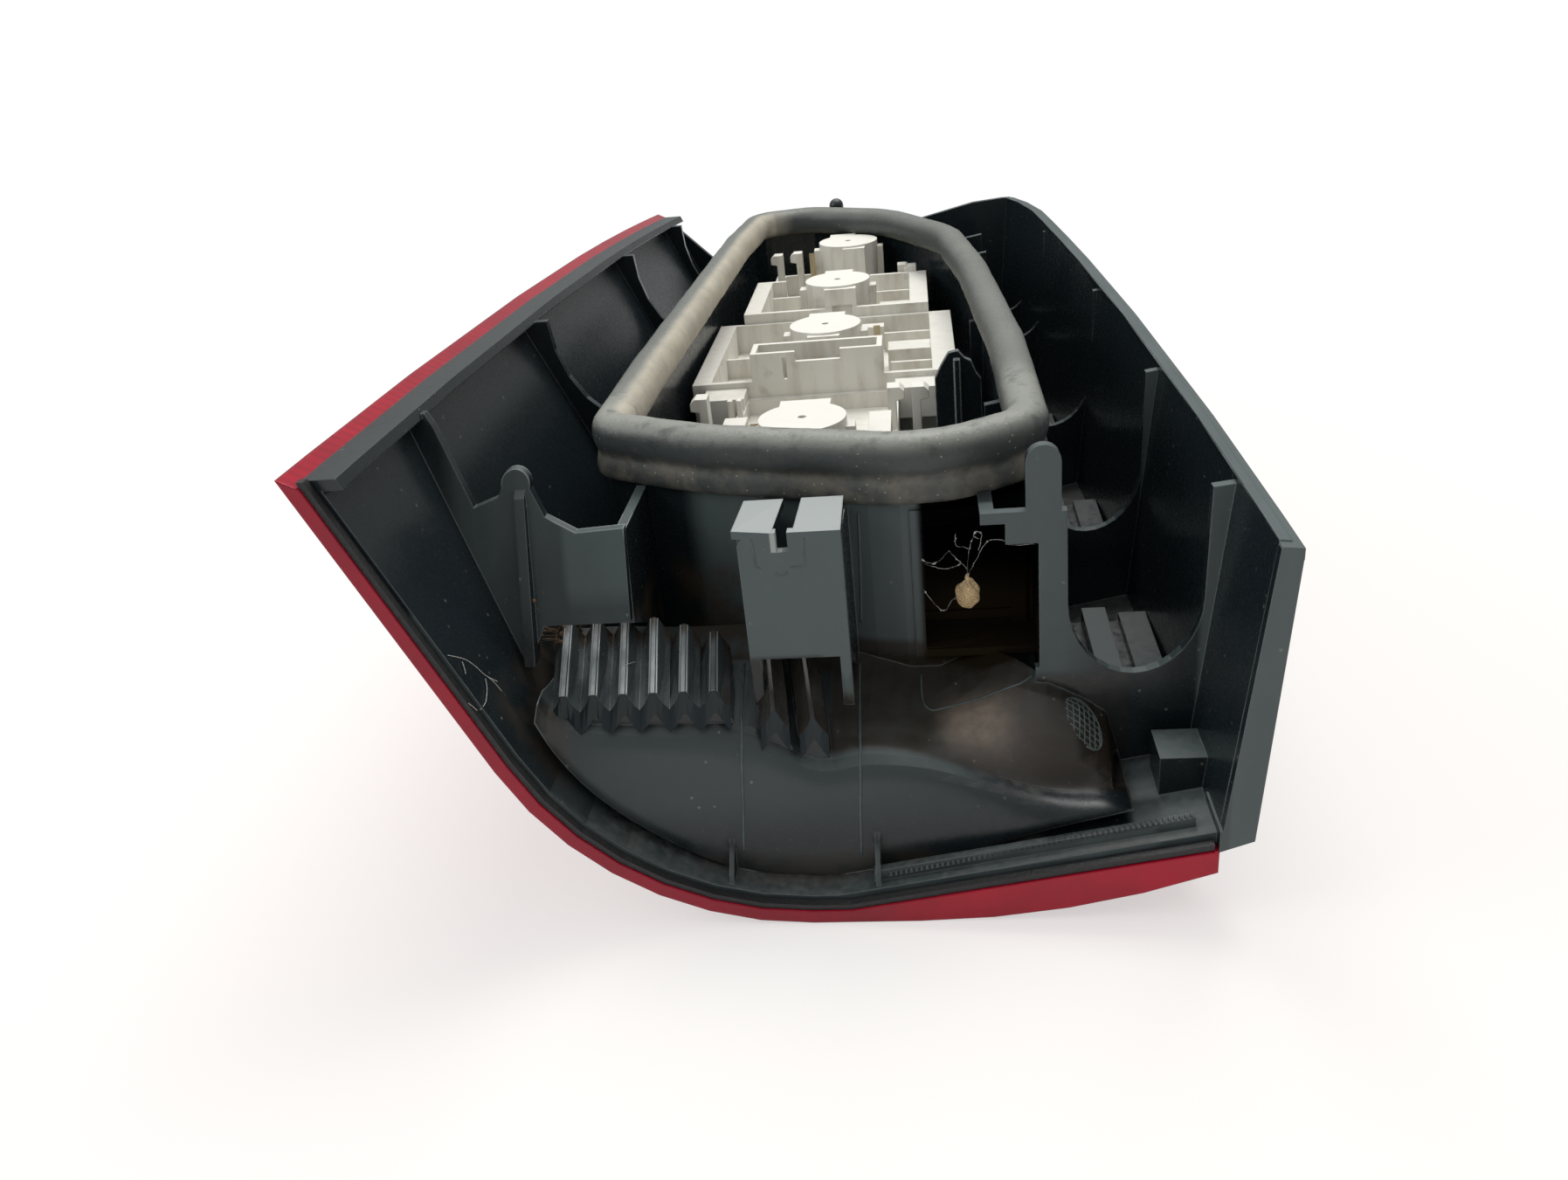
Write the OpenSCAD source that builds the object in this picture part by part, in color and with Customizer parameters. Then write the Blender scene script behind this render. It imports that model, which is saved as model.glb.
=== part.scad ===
// Tail light cluster of a car, lying on its lens with the back of the housing up.
// X runs across the lamp, Y along it from the near end to the far end, Z up to the car body.

/* [Lens] */
// Overall length of the lamp along Y
lamp_l = 410; // [400:2:420]
// Reach of the lamp to each side of its middle line
half_w = 109; // [107:1:111]
// Height of the red wing's tip at the near end
wing_h = 123; // [119:1:126]
// Height of the red wing at the far end
wing_h_far = 105; // [103:1:108]
// Bow of the wing's edge over its length
wing_bow = 3.5; // [0:0.5:5]
// Slope of the red wing from level
flank_a = 66.4; // [65.5:0.1:67.5]
// Radius of the corner between the wing and the face
corner_r = 80; // [76:1:82]
// Radius of the face towards its right edge
belly_r = 198; // [190:2:220]
// Thickness of the lens
lens_t = 3; // [2.6:0.2:3.2]
// Rise of the lens face at the far end
far_crown = 6; // [3:1:8]
// Depth of the lens face below the housing's datum plane
face_depth = 2.8; // [2.2:0.2:3.4]

/* [Housing] */
// Thickness of the moulded walls
wall_t = 2.7; // [2.4:0.1:3]
// Height of the right wall at the near end
right_h = 95; // [92:1:98]
// Height of the right wall at the far end
right_h_far = 100; // [97:1:103]
// Height of the collar's rim
collar_h = 98; // [96:1:99]
// Height of the deck that carries the bulb carrier
deck_h = 50; // [48:1:51]
// Half width of the round-bottomed cut-outs in the right webs
web_cut_w = 16.5; // [14:0.5:17]
// Pitch of the flutes above the near bulge
flute_pitch = 7.6; // [7.4:0.1:7.8]

/* [Seal] */
// Width of the foam and rubber seal
seal_w = 12; // [11:0.5:12.5]
// Height of the seal's lower lip
seal_low = 88; // [86:1:90]
// Height of the seal's crown
seal_top = 106; // [104:1:108]

/* [Bulbs] */
// Diameter of the bulb sockets
socket_d = 27; // [25:0.5:28]
// Diameter of a bulb's metal base
base_d = 15; // [14:0.2:16]
// Diameter of a bulb's glass
glass_d = 25; // [22:0.5:26]
// Height of the sockets' tops
socket_h = 90; // [87:1:92]

/* [Fixings] */
// Diameter of the locating pin
pin_d = 7; // [6:0.2:8]
// Height of the locating pin's tip
pin_h = 107; // [104:1:110]

/* [Hidden] */
$fn = 32;

gap = 0.3;                      // clearance between pieces that are seated on each other
open_z = 170;                   // height above everything, for cutters
end_y = lamp_l / 2;             // half the lamp's length
skirt_t = 2.8;                  // thickness of the lens's end walls
skirt_in = lens_t + 0.5;        // depth of the lens's end walls along the wing and the face
tray_o = lens_t + gap;          // outer face of the housing, measured in from the lens's outside
tray_end = end_y - skirt_t - gap;
arc_n = 7;
belly_n = 4;
belly_x = 25;                   // where the flat of the face ends
ramp_x = 5;                     // where the housing's floor starts to rise
foot_h = 17.3;                  // outer foot of the right wall
wall_near = half_w - 10.5;      // outer face of the right wall's foot at the near end
wall_lean = 8.6;                // outward lean of the right wall over its height, near end
wall_lean_far = 5.4;            // the same at the far end
wall_taper = 20;                // how far the right wall's foot comes in along the lamp
bend_l = 45;                    // length of the bend at the far right corner
bend_r = 140;
wing_strip_w = 7.2;             // width of the strip along the wing's top
strip_w = 4.6;                  // width of the strip along the right wall's top

function mix(a, b, t) = a + (b - a) * t;
function along(y) = (y + end_y) / lamp_l;
function wing_top(y) = let (a = along(y)) mix(wing_h, wing_h_far, a) + wing_bow * 4 * a * (1 - a);
function wall_top(y) = mix(right_h, right_h_far, along(y));
// Height of the lens face at y, from the datum plane
function face(y) = far_crown * pow(max(0, (y - 60) / (end_y - 60)), 2) - face_depth;

// The corner's centre follows from the tip of the wing
arc_x = -half_w + corner_r * sin(flank_a)
      + (wing_h + face_depth - corner_r * (1 - cos(flank_a))) / tan(flank_a);

function bend(y) = let (t = max(0, y - end_y + bend_l)) bend_r - sqrt(bend_r * bend_r - t * t);
function wall_x(y) = wall_near - wall_taper * pow(along(y), 2) - bend(y);
function lens_x(y) = wall_x(y) - 2.6;

function corner_arc(o, y) =
    [for (k = [0 : arc_n]) let (q = flank_a * (1 - k / arc_n))
        [arc_x - (corner_r - o) * sin(q), y, corner_r + face(y) - (corner_r - o) * cos(q)]];
function flank(o, y, z) =
    let (p = corner_arc(o, y)[0]) [p[0] - (z - p[2]) / tan(flank_a), y, z];
function belly(o, y) =
    let (s = asin((lens_x(y) - o - belly_x) / (belly_r - o)))
    [for (k = [0 : belly_n]) let (q = s * k / belly_n)
        [belly_x + (belly_r - o) * sin(q), y, belly_r + face(y) - (belly_r - o) * cos(q)]];
// Height of the housing's outer floor at x
function floor_out(x, y) =
    tray_o + face(y) + (foot_h + face_depth - tray_o) * max(0, x - ramp_x) / (wall_x(y) - ramp_x);

// Sections of the lens and of the housing at y, o millimetres in from the lens's outside
function lens_ring(o, y, zl, zr) =
    concat([flank(o, y, zl)], corner_arc(o, y), belly(o, y), [[lens_x(y) - o, y, zr]]);
function mouth_ring(y) =
    concat([flank(skirt_in, y, open_z)], corner_arc(skirt_in, y),
           [[ramp_x + 3, y, skirt_in + face(y)]],
           [[lens_x(y) + 1, y, floor_out(lens_x(y) + 1, y) - 0.4], [lens_x(y) + 1, y, open_z]]);
function edge_ring(y) =
    [for (x = [ramp_x + 40, lens_x(y) + 1]) each [[x, y, floor_out(x, y) - gap], [x, y, open_z]]];
function wall_at(o, y, z) =
    wall_x(y) + mix(wall_lean, wall_lean_far, along(y)) * (z - foot_h) / (right_h - foot_h) - (o - tray_o);
function tray_ring(o, y, zl, zr) =
    let (foot = foot_h + face(y) + face_depth + o - tray_o)
    concat([flank(o, y, zl)], corner_arc(o, y), [[ramp_x, y, o + face(y)]],
           [[wall_at(o, y, foot), y, foot], [wall_at(o, y, zr), y, zr]]);
function stations(y0, y1) =
    concat([y0], [for (f = [-0.92, -0.6, -0.1, 0.3, 0.5, 0.68, 0.8, 0.91]) f * end_y], [y1]);

// Solid through a row of convex sections
module spans(rings) {
    for (i = [0 : len(rings) - 2])
        span(concat(rings[i], rings[i + 1]));
}

module span(p) {
    hull() polyhedron(points = p, faces = [for (k = [0 : len(p) - 3]) [k, k + 1, k + 2]]);
}

// Plates of thickness t that stand across X or Y, drawn in XZ or YZ
module across_y(y, t) {
    translate([0, y + t / 2, 0]) rotate([90, 0, 0]) linear_extrude(t) children();
}

module across_x(x, t) {
    translate([x - t / 2, 0, 0]) rotate([90, 0, 90]) linear_extrude(t) children();
}

module box(x0, x1, y0, y1, z0, z1) {
    translate([x0, y0, z0]) cube([x1 - x0, y1 - y0, z1 - z0]);
}

// Seal and collar outline: vertices with the radius of each corner
seal_far = end_y - 17;
seal_v = [[-62, -123, 13], [-28, -141, 60], [34, -160, 40], [64.5, -139, 20], [64.3, -60, 100],
          [58.5, 48, 150], [51, 112, 60], [22, seal_far - 20, 50], [-20, seal_far + 3, 28],
          [-50, seal_far - 5, 18], [-55, 130, 150], [-61.5, -60, 150]];

function turned(v, q) = [v[0] * cos(q) - v[1] * sin(q), v[0] * sin(q) + v[1] * cos(q)];
function unit(v) = v / norm(v);
function flat2(v) = [v[0], v[1]];
function corner(a, b, c) =
    let (u = unit(flat2(b) - flat2(a)), w = unit(flat2(c) - flat2(b)),
         turn = acos(u * w), start = flat2(b) - u * b[2] * tan(turn / 2),
         inward = [-u[1], u[0]], centre = start + inward * b[2], m = max(1, ceil(turn / 15)))
    [for (k = [0 : m]) let (n = turned(inward, turn * k / m)) [centre - n * b[2], n]];
seal_n = len(seal_v);
seal_path = [for (i = [0 : seal_n - 1])
    for (c = corner(seal_v[(i + seal_n - 1) % seal_n], seal_v[i], seal_v[(i + 1) % seal_n])) c];
function plan(o) = [for (c = seal_path) c[0] + c[1] * o];

collar_o = 2.6;                 // collar's outer face, in from the seal's outside
collar_i = collar_o + wall_t;

// Lens
module lens() {
    color([0.72, 0.05, 0.1])
    difference() {
        spans([for (y = stations(-end_y, end_y))
            lens_ring(0, y, wing_top(y), floor_out(lens_x(y), y) - gap)]);
        spans([for (y = stations(-end_y + skirt_t, end_y - skirt_t)) lens_ring(lens_t, y, open_z, open_z)]);
        spans([for (y = [-end_y - 1, -end_y + skirt_t + 1]) mouth_ring(y)]);
        spans([for (y = [end_y - skirt_t - 1, end_y + 1]) mouth_ring(y)]);
        spans([for (y = stations(-end_y - 1, end_y + 1)) edge_ring(y)]);
    }
}

// Adhesive bead on top of the lens's near end wall
module lens_bead() {
    lo = skirt_in + 0.05;
    hi = skirt_in + 1.6;
    y0 = -end_y + 0.5;
    y1 = -end_y + skirt_t;
    top = wing_top(y0) - 1;
    low = concat([flank(lo, y0, top)], corner_arc(lo, y0), [[ramp_x + 3, y0, lo + face(y0)]],
                 [[lens_x(y0) - 1, y0, floor_out(lens_x(y0), y0) - 0.25]]);
    high = concat([flank(hi, y0, top)], corner_arc(hi, y0), [[ramp_x + 3, y0, hi + face(y0)]],
                  [[lens_x(y0) - 1, y0, floor_out(lens_x(y0), y0) + 1.3]]);
    back = [0, y1 - y0, 0];
    color([0.05, 0.05, 0.05])
    for (k = [0 : len(low) - 2])
        span(concat([low[k], low[k + 1], high[k], high[k + 1]],
                    [for (p = [low[k], low[k + 1], high[k], high[k + 1]]) p + back]));
}

// Ribbed reflex insert behind the lens at its right edge
module reflex_panel() {
    x0 = belly_x + 12;
    x1 = wall_near - 13;
    n = 10;
    function on_belly(x, o) = [x, belly_r - sqrt(pow(belly_r - o, 2) - pow(x - belly_x, 2))];
    color([0.8, 0.1, 0.12])
    across_y(-end_y + 60, 80)
    polygon(concat([for (k = [0 : n]) on_belly(mix(x0, x1, k / n), lens_t + gap)],
                   [for (k = [2 * n : -1 : 0]) on_belly(mix(x0, x1, k / n / 2),
                       lens_t + gap + (k % 2 == 0 ? 1.2 : 2.2))]));
}

// Housing: the space just inside its outer face, the skin, and what stands in it
module tray_room() {
    inset = 0.4;
    spans([for (y = stations(inset - tray_end, tray_end - inset))
               tray_ring(tray_o + inset, y, open_z, open_z)]);
}

module tray_skin() {
    inner = tray_o + wall_t;
    difference() {
        spans([for (y = stations(-tray_end, tray_end))
            tray_ring(tray_o, y, wing_top(y) - 1.5, wall_top(y))]);
        spans([for (y = stations(-tray_end - 1, tray_end - wall_t)) tray_ring(inner, y, open_z, open_z)]);
        far_wall_dip();
    }
}

// The far wall's top falls from the wing and rises again to the right corner
module far_wall_dip() {
    across_y(tray_end, 3 * wall_t)
    polygon([[-94, open_z], [-94, wing_h_far - 1], [-69, 79], [-55, 66], [8, 66], [32, 93],
             [60, 99], [75, right_h_far + 0.1], [75, open_z]]);
}

// Strip along the wing's top, and strip and end lip along the right wall
module edge_strips() {
    ys = stations(-tray_end, tray_end);
    spans([for (y = ys) let (z = wing_top(y) - 1.5)
        [flank(tray_o, y, z), flank(tray_o + wing_strip_w, y, z),
         flank(tray_o, y, z - wall_t), flank(tray_o + wing_strip_w, y, z - wall_t)]]);
    spans([for (y = stations(-end_y, tray_end)) let (z = wall_top(y), x = wall_at(tray_o + wall_t, y, z))
        [[x, y, z], [x + strip_w, y, z - 0.5], [x, y, z - wall_t], [x + strip_w, y, z - wall_t - 0.5]]]);
    lip_top = wall_at(tray_o + wall_t, -end_y, right_h);
    lip_foot = wall_at(tray_o + wall_t, -end_y, foot_h);
    across_y(-end_y + wall_t / 2, wall_t)
    polygon([[lip_foot, foot_h - 1], [lip_foot + 8, foot_h + 2], [half_w, right_h - 2],
             [half_w - 2, right_h - 0.3], [lip_top - 0.2, right_h - 0.3]]);
    across_y(-end_y + 8, 16)
    polygon([[lip_foot, foot_h - 1], [lip_foot + 8, foot_h + 2], [lip_foot + 8.2, foot_h + 5],
             [lip_foot, foot_h + 5]]);
}

module collar() {
    translate([0, 0, 1])
    linear_extrude(collar_h - 1)
    difference() {
        polygon(plan(collar_o));
        polygon(plan(collar_i));
    }
    translate([0, 0, deck_h - wall_t])
    linear_extrude(wall_t)
    polygon(plan(collar_i - 0.5));
}

// Bulge of the light chamber at the near end: columns from the rim over the crest to the wall
rim_y = -end_y + 11;
crest_y = -end_y + 20;
rim_v = [[-67, 52], [-63, 42], [-55, 30], [-42, 18], [-24, 7], [-8, 4], [8, 3.5], [24, 6], [42, 11], [58, 16],
         [70, 19], [78, 21]];
crest_v = [[-66.5, 56], [-63, 51], [-55, 47], [-40, 46.5], [-24, 46], [-12, 42], [1, 34.5], [13, 36],
           [28, 33.5], [46, 26], [60, 21.5], [74, 20.8]];
wall_v = [[-68, 50], [-64, 50], [-54, 50], [-38, 49], [-20, 49], [-6, 48.5], [5, 48], [16, 46.5], [34, 43],
          [52, 44.5], [64, 39.8], [75, 32.5]];
wall_ys = [-141, -165];         // where the bulge ends: under the collar, and at the near web

function spline(p, t) =
    let (n = len(p) - 1, i = min(floor(t * n), n - 1), f = t * n - i,
         a = p[max(i - 1, 0)], b = p[i], c = p[i + 1], d = p[min(i + 2, n)])
    (2 * b + f * (c - a) + f * f * (2 * a - 5 * b + 4 * c - d) + f * f * f * (3 * b - a - 3 * c + d)) / 2;
function at_y(p, y) = [p[0], y, p[1]];
bulge_n = 33;
swell = [0, 0.3, 0.6, 0.8, 0.91, 0.97, 1];
sag = [[0.14, -1], [0.32, -1.6], [0.5, -1.5], [0.7, -1.2], [1, 0]];
lobe = -3.6;                    // how the sag turns to a swell at the right end
bulge_rows = len(swell) + len(sag) + 1;
// A smooth step from 0 to 1
function ease(u) = let (v = max(0, min(1, u))) v * v * (3 - 2 * v);
// One column of the bulge: rim, front face, crest, saddle, wall, then back down behind
function bulge_column(t) =
    let (r = spline(rim_v, t), c = spline(crest_v, t), w = spline(wall_v, t),
         wall_y = mix(wall_ys[0], wall_ys[1], ease((t - 0.69) / 0.2)),
         swollen = mix(1, lobe, ease((t - 0.7) / 0.2)) * min(1, (1 - t) / 0.06))
    concat([for (f = swell) at_y(mix(r, c, f), mix(rim_y, crest_y, 0.45 * f + 0.55 * pow(f, 14)))],
           [for (g = sag) at_y(mix(c, w, g[0]) + [0, g[1] * swollen], mix(crest_y, wall_y, g[0]))],
           [at_y(r + [0, 0.1], wall_y)]);

module bulge_solid() {
    m = bulge_rows;
    points = [for (i = [0 : bulge_n]) for (p = bulge_column(i / bulge_n)) p];
    polyhedron(points = points, faces = concat(
        [for (i = [0 : bulge_n - 1]) for (j = [0 : m - 1]) let (k = (j + 1) % m)
            each [[i * m + j, i * m + k, (i + 1) * m + k], [i * m + j, (i + 1) * m + k, (i + 1) * m + j]]],
        [[for (j = [m - 1 : -1 : 0]) j], [for (j = [0 : m - 1]) bulge_n * m + j]]));
}

module bulge() {
    difference() {
        bulge_solid();
        translate([0, wall_t, -wall_t])
        intersection() {
            bulge_solid();
            box(-56.5, 56.3, -end_y, -130, 0, 70);
        }
    }
}

// Scalloped flutes on top of the bulge: each climbs from a low valley tip to the wall behind
flute_ys = [crest_y - 2, -159];

module flutes() {
    for (k = [0 : 5])
        flute(-60.8 + k * flute_pitch, -65 + k * (flute_pitch + 0.15), 0, max(0, k - 3) * 2.4);
    flute(-8.5, -12.5, -9, 3);
    flute(1, -3.5, -12, 4);
}

module flute(x, xf, dz, fall) {
    w = flute_pitch / 2;
    r = 1.1;
    span([for (s = [-1, 1]) each [[x + s * w, flute_ys[0] + 0.6, 45.5 + dz],
                                  [x + s * w, flute_ys[0] + 7, 41 + dz],
                                  [xf + s * w, flute_ys[1], 56 - fall], [xf + s * w, flute_ys[1], 42 + dz]],
          [x - r, flute_ys[0], 55 + dz], [x + r, flute_ys[0], 55 + dz],
          [xf - r, flute_ys[1], 61.5 - fall], [xf + r, flute_ys[1], 61.5 - fall]]);
}

// Ribs between the wing and the collar
module wing_rib(y) {
    top = wing_top(y) - 4;
    x0 = flank(tray_o, y, top)[0];
    x1 = x0 + 12;
    x2 = -59;
    across_y(y, wall_t)
    polygon(concat([[x0 - 20, 0], [x0 - 20, top], [x1, top]],
                   [for (q = [15 : 15 : 90]) [x2 - (x2 - x1) * cos(q), top - 38 * sin(q)]],
                   [[x2, 0]]));
}

// The nearest rib leans towards the near end. It dips to a notch, and has a round-headed post with a fin.
near_rib_y = -150;
near_rib_lean = 0.35;
post = [-72.5, 100.7];

module near_rib() {
    shear = [[1, 0, 0, 0], [0, 1, near_rib_lean, near_rib_y - near_rib_lean * 118],
             [0, 0, 1, 0], [0, 0, 0, 1]];
    multmatrix(shear) {
        across_y(0, wall_t)
        polygon([[-125, 50], [-125, 118], [-102, 119.5], [-95, 119], [-93, 116], [-84, 95.6], [-77.4, 97.8],
                 [-76, post[1]], [post[0] + 3, post[1]], [-65.6, 92.5],
                 [-57.9, 88.3], [-45.3, 88.9], [-45.3, 66],
                 [-68, 66], [-76, 50]]);
        across_y(0, wall_t)
        translate(post) circle(d = 7.6);
        across_x(post[0] + 1, wall_t)
        polygon([[-5.5, 58], [-3, post[1] - 3], [0, post[1]], [0, 58]]);
    }
    across_x(-46.6, wall_t)
    polygon([[near_rib_y - 10, 88], [-130, 88], [-130, 45], [near_rib_y - 16, 64]]);
}

// Webs between the collar and the right wall, each with a round-bottomed cut-out
web_ys = [-165, -76, 22, 132, 172];
web_x = 62.5;

module web_cut(y) {
    x = (wall_x(y) + web_x) / 2 + 1.2;
    r = min(web_cut_w, (wall_x(y) - web_x) / 2 + 1);
    hull() {
        translate([x, 64]) scale([1, 1.25]) circle(r = r);
        translate([x - r - 1, open_z]) square([2 * r + 3, 1]);
    }
}

module web(y) {
    across_y(y, wall_t)
    difference() {
        polygon([[50, 0], [50, 87], [web_x, 89], [wall_x(y) + wall_lean + 3, wall_top(y) - 1],
                 [wall_x(y) + 3, 0]]);
        web_cut(y);
    }
}

// Tongue that stands on the nearest web, with the lintel beside it
module tongue() {
    across_y(web_ys[0], wall_t) {
        translate([55, 60]) square([8.5, 42]);
        translate([59.25, 102]) circle(d = 8.5);
        translate([44, 86.5]) square([12, 3]);
    }
    across_x(60, wall_t)
    polygon([[web_ys[0], 36], [web_ys[0], 87], [-135, 87], [-135, 36]]);
    box(44, 47.5, web_ys[0], -150, 86.8, 89.2);
}

// Window in the near wall, with a closed pocket behind it
win = [29.5, 58, 46, 81];       // x0, x1, z0, z1
pocket_y = -138;

module window() {
    box(win[0], win[1], web_ys[0] - 5, pocket_y - wall_t, win[2], win[3]);
    box(win[0], win[1] - 1, web_ys[0] - 5, web_ys[0] + wall_t + 1, win[2] - 8, win[2] + 1);
}

module pocket() {
    difference() {
        box(win[0] - wall_t, win[1] + 1, -154, pocket_y + 1, win[2] - wall_t, 86);
        box(win[0], win[1] + 2, -160, pocket_y + 1 - wall_t, win[2] - 0.4, 86 - wall_t);
    }
}

// Clip tower: a plate on two legs, with two lips that lead back to the collar
tower_y = -178;
tower_x0 = -14;
tower_x1 = 11;
lip_y = -160.5;

module clip_tower() {
    across_y(tower_y, wall_t)
    polygon([[tower_x0, 46], [tower_x0, 90], [tower_x0 + 2, 93], [-4.6, 93],
             [-4.6, 88], [-1.8, 88], [-1.8, 93],
             [tower_x1, 93], [tower_x1, 45], [tower_x1 - 2.6, 45], [tower_x1 - 2.6, 59],
             [tower_x0 + 2.6, 59], [tower_x0 + 2.6, 46]]);
    for (lip = [[tower_x0 - 1, -5.5, tower_x0, -4, 1], [-0.5, tower_x1, 0.5, tower_x1, 0]])
        span([for (z = [91, 93]) each [[lip[0], tower_y - 1.3, z + lip[4]], [lip[1], tower_y - 1.3, z],
                                      [lip[2], lip_y, z + 1], [lip[3], lip_y, z + 1]]]);
    for (x = [tower_x0 + wall_t / 2, tower_x1 - wall_t / 2])
        across_x(x, wall_t)
        polygon([[tower_y, 62], [tower_y, 92], [lip_y, 90], [lip_y + 18, 84], [lip_y + 18, 40], [lip_y, 46]]);
}

// Trim of the near flange: fins, raised rail and the pads on the floor
module flange_trim() {
    for (x = [-22, 15])
        across_x(x, 1.2)
        polygon([[-tray_end + 1, 5], [-tray_end + 2, 8], [rim_y + 2, 16], [rim_y + 2, 5]]);
    rail_y = -tray_end + 3;
    span([for (dy = [0, 2.2]) for (dz = [-2, 3.2])
        for (x = [14, wall_near - 7]) [x, rail_y + dy, floor_out(x, rail_y) + wall_t + dz]]);
    box(wall_near - 13, wall_near + 2, -184, -171, 10, 29);
    for (y = [web_ys[0] + 4, web_ys[1] + 4, web_ys[2] + 4])
        pad(y, 58, 27);
}

// Stepped pad of length l and width w on the floor against the right wall
module pad(y, l, w) {
    x1 = wall_x(y + l) - 2;
    box(x1 - w, x1, y, y + l, 10, foot_h + 7);
    box(x1 - w + 8, x1 - w + 15, y, y + l, 10, foot_h + 12);
    box(x1 - 8, x1, y, y + l, 10, foot_h + 10);
}

// Latch plate inside the collar, broken off at its top
module latch_plate() {
    y = -62;
    across_y(y, 1.8)
    polygon([[35.5, deck_h - 1], [35.5, 92], [37.5, 96], [40, 100], [43, 100.5],
             [45, 98], [47, 97], [48.5, 93],
             [50, 91], [50, deck_h - 1]]);
    box(41.6, 43.4, y - 2.4, y, deck_h - 1, 98);
}

// Shelf at the far end for the locating pin
pin_x = -7;
pin_y = seal_far + 8;
pin_shelf = 76;

module pin_shelf_body() {
    box(pin_x - 8, pin_x + 7, seal_far - 6, tray_end - 0.5, pin_shelf - 5, pin_shelf);
    across_x(pin_x - 6.7, wall_t)
    polygon([[seal_far - 6, 40], [seal_far - 6, pin_shelf], [tray_end - 1, pin_shelf],
                                          [tray_end - 1, 55]]);
}

module light_opening() {
    translate([0, 0, -5])
    linear_extrude(deck_h - wall_t + 5)
    polygon(plan(collar_i));
    box(-46, 42, rim_y + 8, -130, -5, 16);
}

// Footprint of the bulb carrier: x0, x1, y0, y1 of its near, wide, narrow and far parts
foot = [[-33, 23, -112, -14], [-51, 44, -14, 68], [-41, 35.3, 68, 126], [-36, 13.5, 126, 164]];
foot_top = [74, 80, 84, 78];

module deck_opening() {
    for (f = foot)
        box(f[0] + 2, f[1] - 2, f[2] + (f[2] < -100 ? 2 : -5), f[3] - 2, deck_h - wall_t - 1, deck_h + 1);
}

module moulding() {
    difference() {
        union() {
            tray_skin();
            edge_strips();
            intersection() {
                tray_room();
                union() {
                    difference() {
                        union() {
                            collar();
                            tongue();
                            for (y = web_ys)
                                web(y);
                            for (y = [-46, 84, 180])
                                wing_rib(y);
                            near_rib();
                            clip_tower();
                            flange_trim();
                            pin_shelf_body();
                        }
                        window();
                    }
                    bulge();
                    flutes();
                    latch_plate();
                }
            }
        }
        light_opening();
        deck_opening();
        translate([pin_x, pin_y, pin_shelf - 10]) cylinder(d = pin_d - 1.4, h = 20);
    }
}

module housing() {
    color([0.12, 0.14, 0.15])
    union() {
        moulding();
        pocket();
    }
}

// Metallised reflector with one bowl for each bulb
bulb_xs = [-5, -4, -2, 0];
bulb_ys = [-86, 22, 84, 150.5];
bowl_rs = [26, 26, 26, 18];
bowl_low = 26;
bowl_high = deck_h - wall_t - 1;

module bowl(r0, r1) {
    n = 6;
    rotate_extrude($fn = 48)
    polygon(concat([for (k = [0 : n]) [mix(r0, r1, pow(1 - k / n, 0.6)), mix(bowl_low, bowl_high, k / n)]],
                   [for (k = [n : -1 : 0])
                       [mix(r0, r1, pow(1 - k / n, 0.6)) + 1.6, mix(bowl_low, bowl_high, k / n)]]));
}

module reflector() {
    color([0.8, 0.8, 0.82])
    union() {
        translate([0, 0, bowl_low - 0.8])
        linear_extrude(2)
        difference() {
            polygon(plan(collar_i + gap));
            for (k = [0 : 3])
                translate([bulb_xs[k], bulb_ys[k]]) circle(r = bowl_rs[k] + 0.8);
        }
        for (k = [0 : 3])
            bulb_at(k) bowl(glass_d / 2 + 1.5, bowl_rs[k]);
    }
}

// Seal: a soft loop over the collar's rim with a rounded crown
module gasket() {
    g0 = collar_o - 0.1;
    g1 = collar_i + 0.1;
    mid = seal_w / 2;
    section = concat([[0.8, seal_low], [0, seal_low + 2.5], [0, seal_top - 6]],
                     [for (q = [30, 60]) [mid - mid * cos(q), seal_top - 6 + 6 * sin(q)]],
                     [[mid - 1.5, seal_top], [mid + 1.5, seal_top]],
                     [for (q = [60, 30]) [mid + mid * cos(q), seal_top - 6 + 6 * sin(q)]],
                     [[seal_w, seal_top - 7], [seal_w - 1, seal_top - 11], [g1, seal_top - 13],
                      [g1, collar_h + 0.2], [g0, collar_h + 0.2], [g0, seal_low]]);
    m = len(section);
    n = len(seal_path);
    color([0.35, 0.37, 0.37])
    polyhedron(
        points = [for (c = seal_path) for (s = section) let (p = c[0] + c[1] * s[0]) [p[0], p[1], s[1]]],
        faces = [for (i = [0 : n - 1]) for (j = [0 : m - 1]) let (a = (i + 1) % n, b = (j + 1) % m)
            each [[i * m + j, a * m + j, a * m + b], [i * m + j, a * m + b, i * m + b]]]);
}

// Bulb carrier: ivory tray with broad-topped walls, sockets, connector box and snap hooks
carrier_low = deck_h + gap;
plate_h = 66;
plate_t = 2.5;
rail_t = 2.4;
foot_wall = [[rail_t, rail_t], [6.7, 8.7], [7, 7.6], [4.5, 4.5]];  // widths of the left and right walls' tops
conn = [-29, 18, -14, 0];       // x0, x1, y0, y1 of the connector box
socket_rise = [0, 0, 2.5, 5];
far_keys = [[-8, 8], [-7, 7], [-6, 6], [-9, 3]];
near_keys = [[-3, 3], [-6, 6], [-5, 8], [-2, 8]];

module carrier_shell(f, top, walls) {
    difference() {
        box(f[0], f[1], f[2], f[3], carrier_low, top);
        box(f[0] + walls[0], f[1] - walls[1], f[2] + rail_t, f[3] - rail_t, plate_h + plate_t, top + 1);
        box(f[0] + rail_t, f[1] - rail_t, f[2] + rail_t, f[3] - rail_t, carrier_low - 1, plate_h);
    }
}

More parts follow.
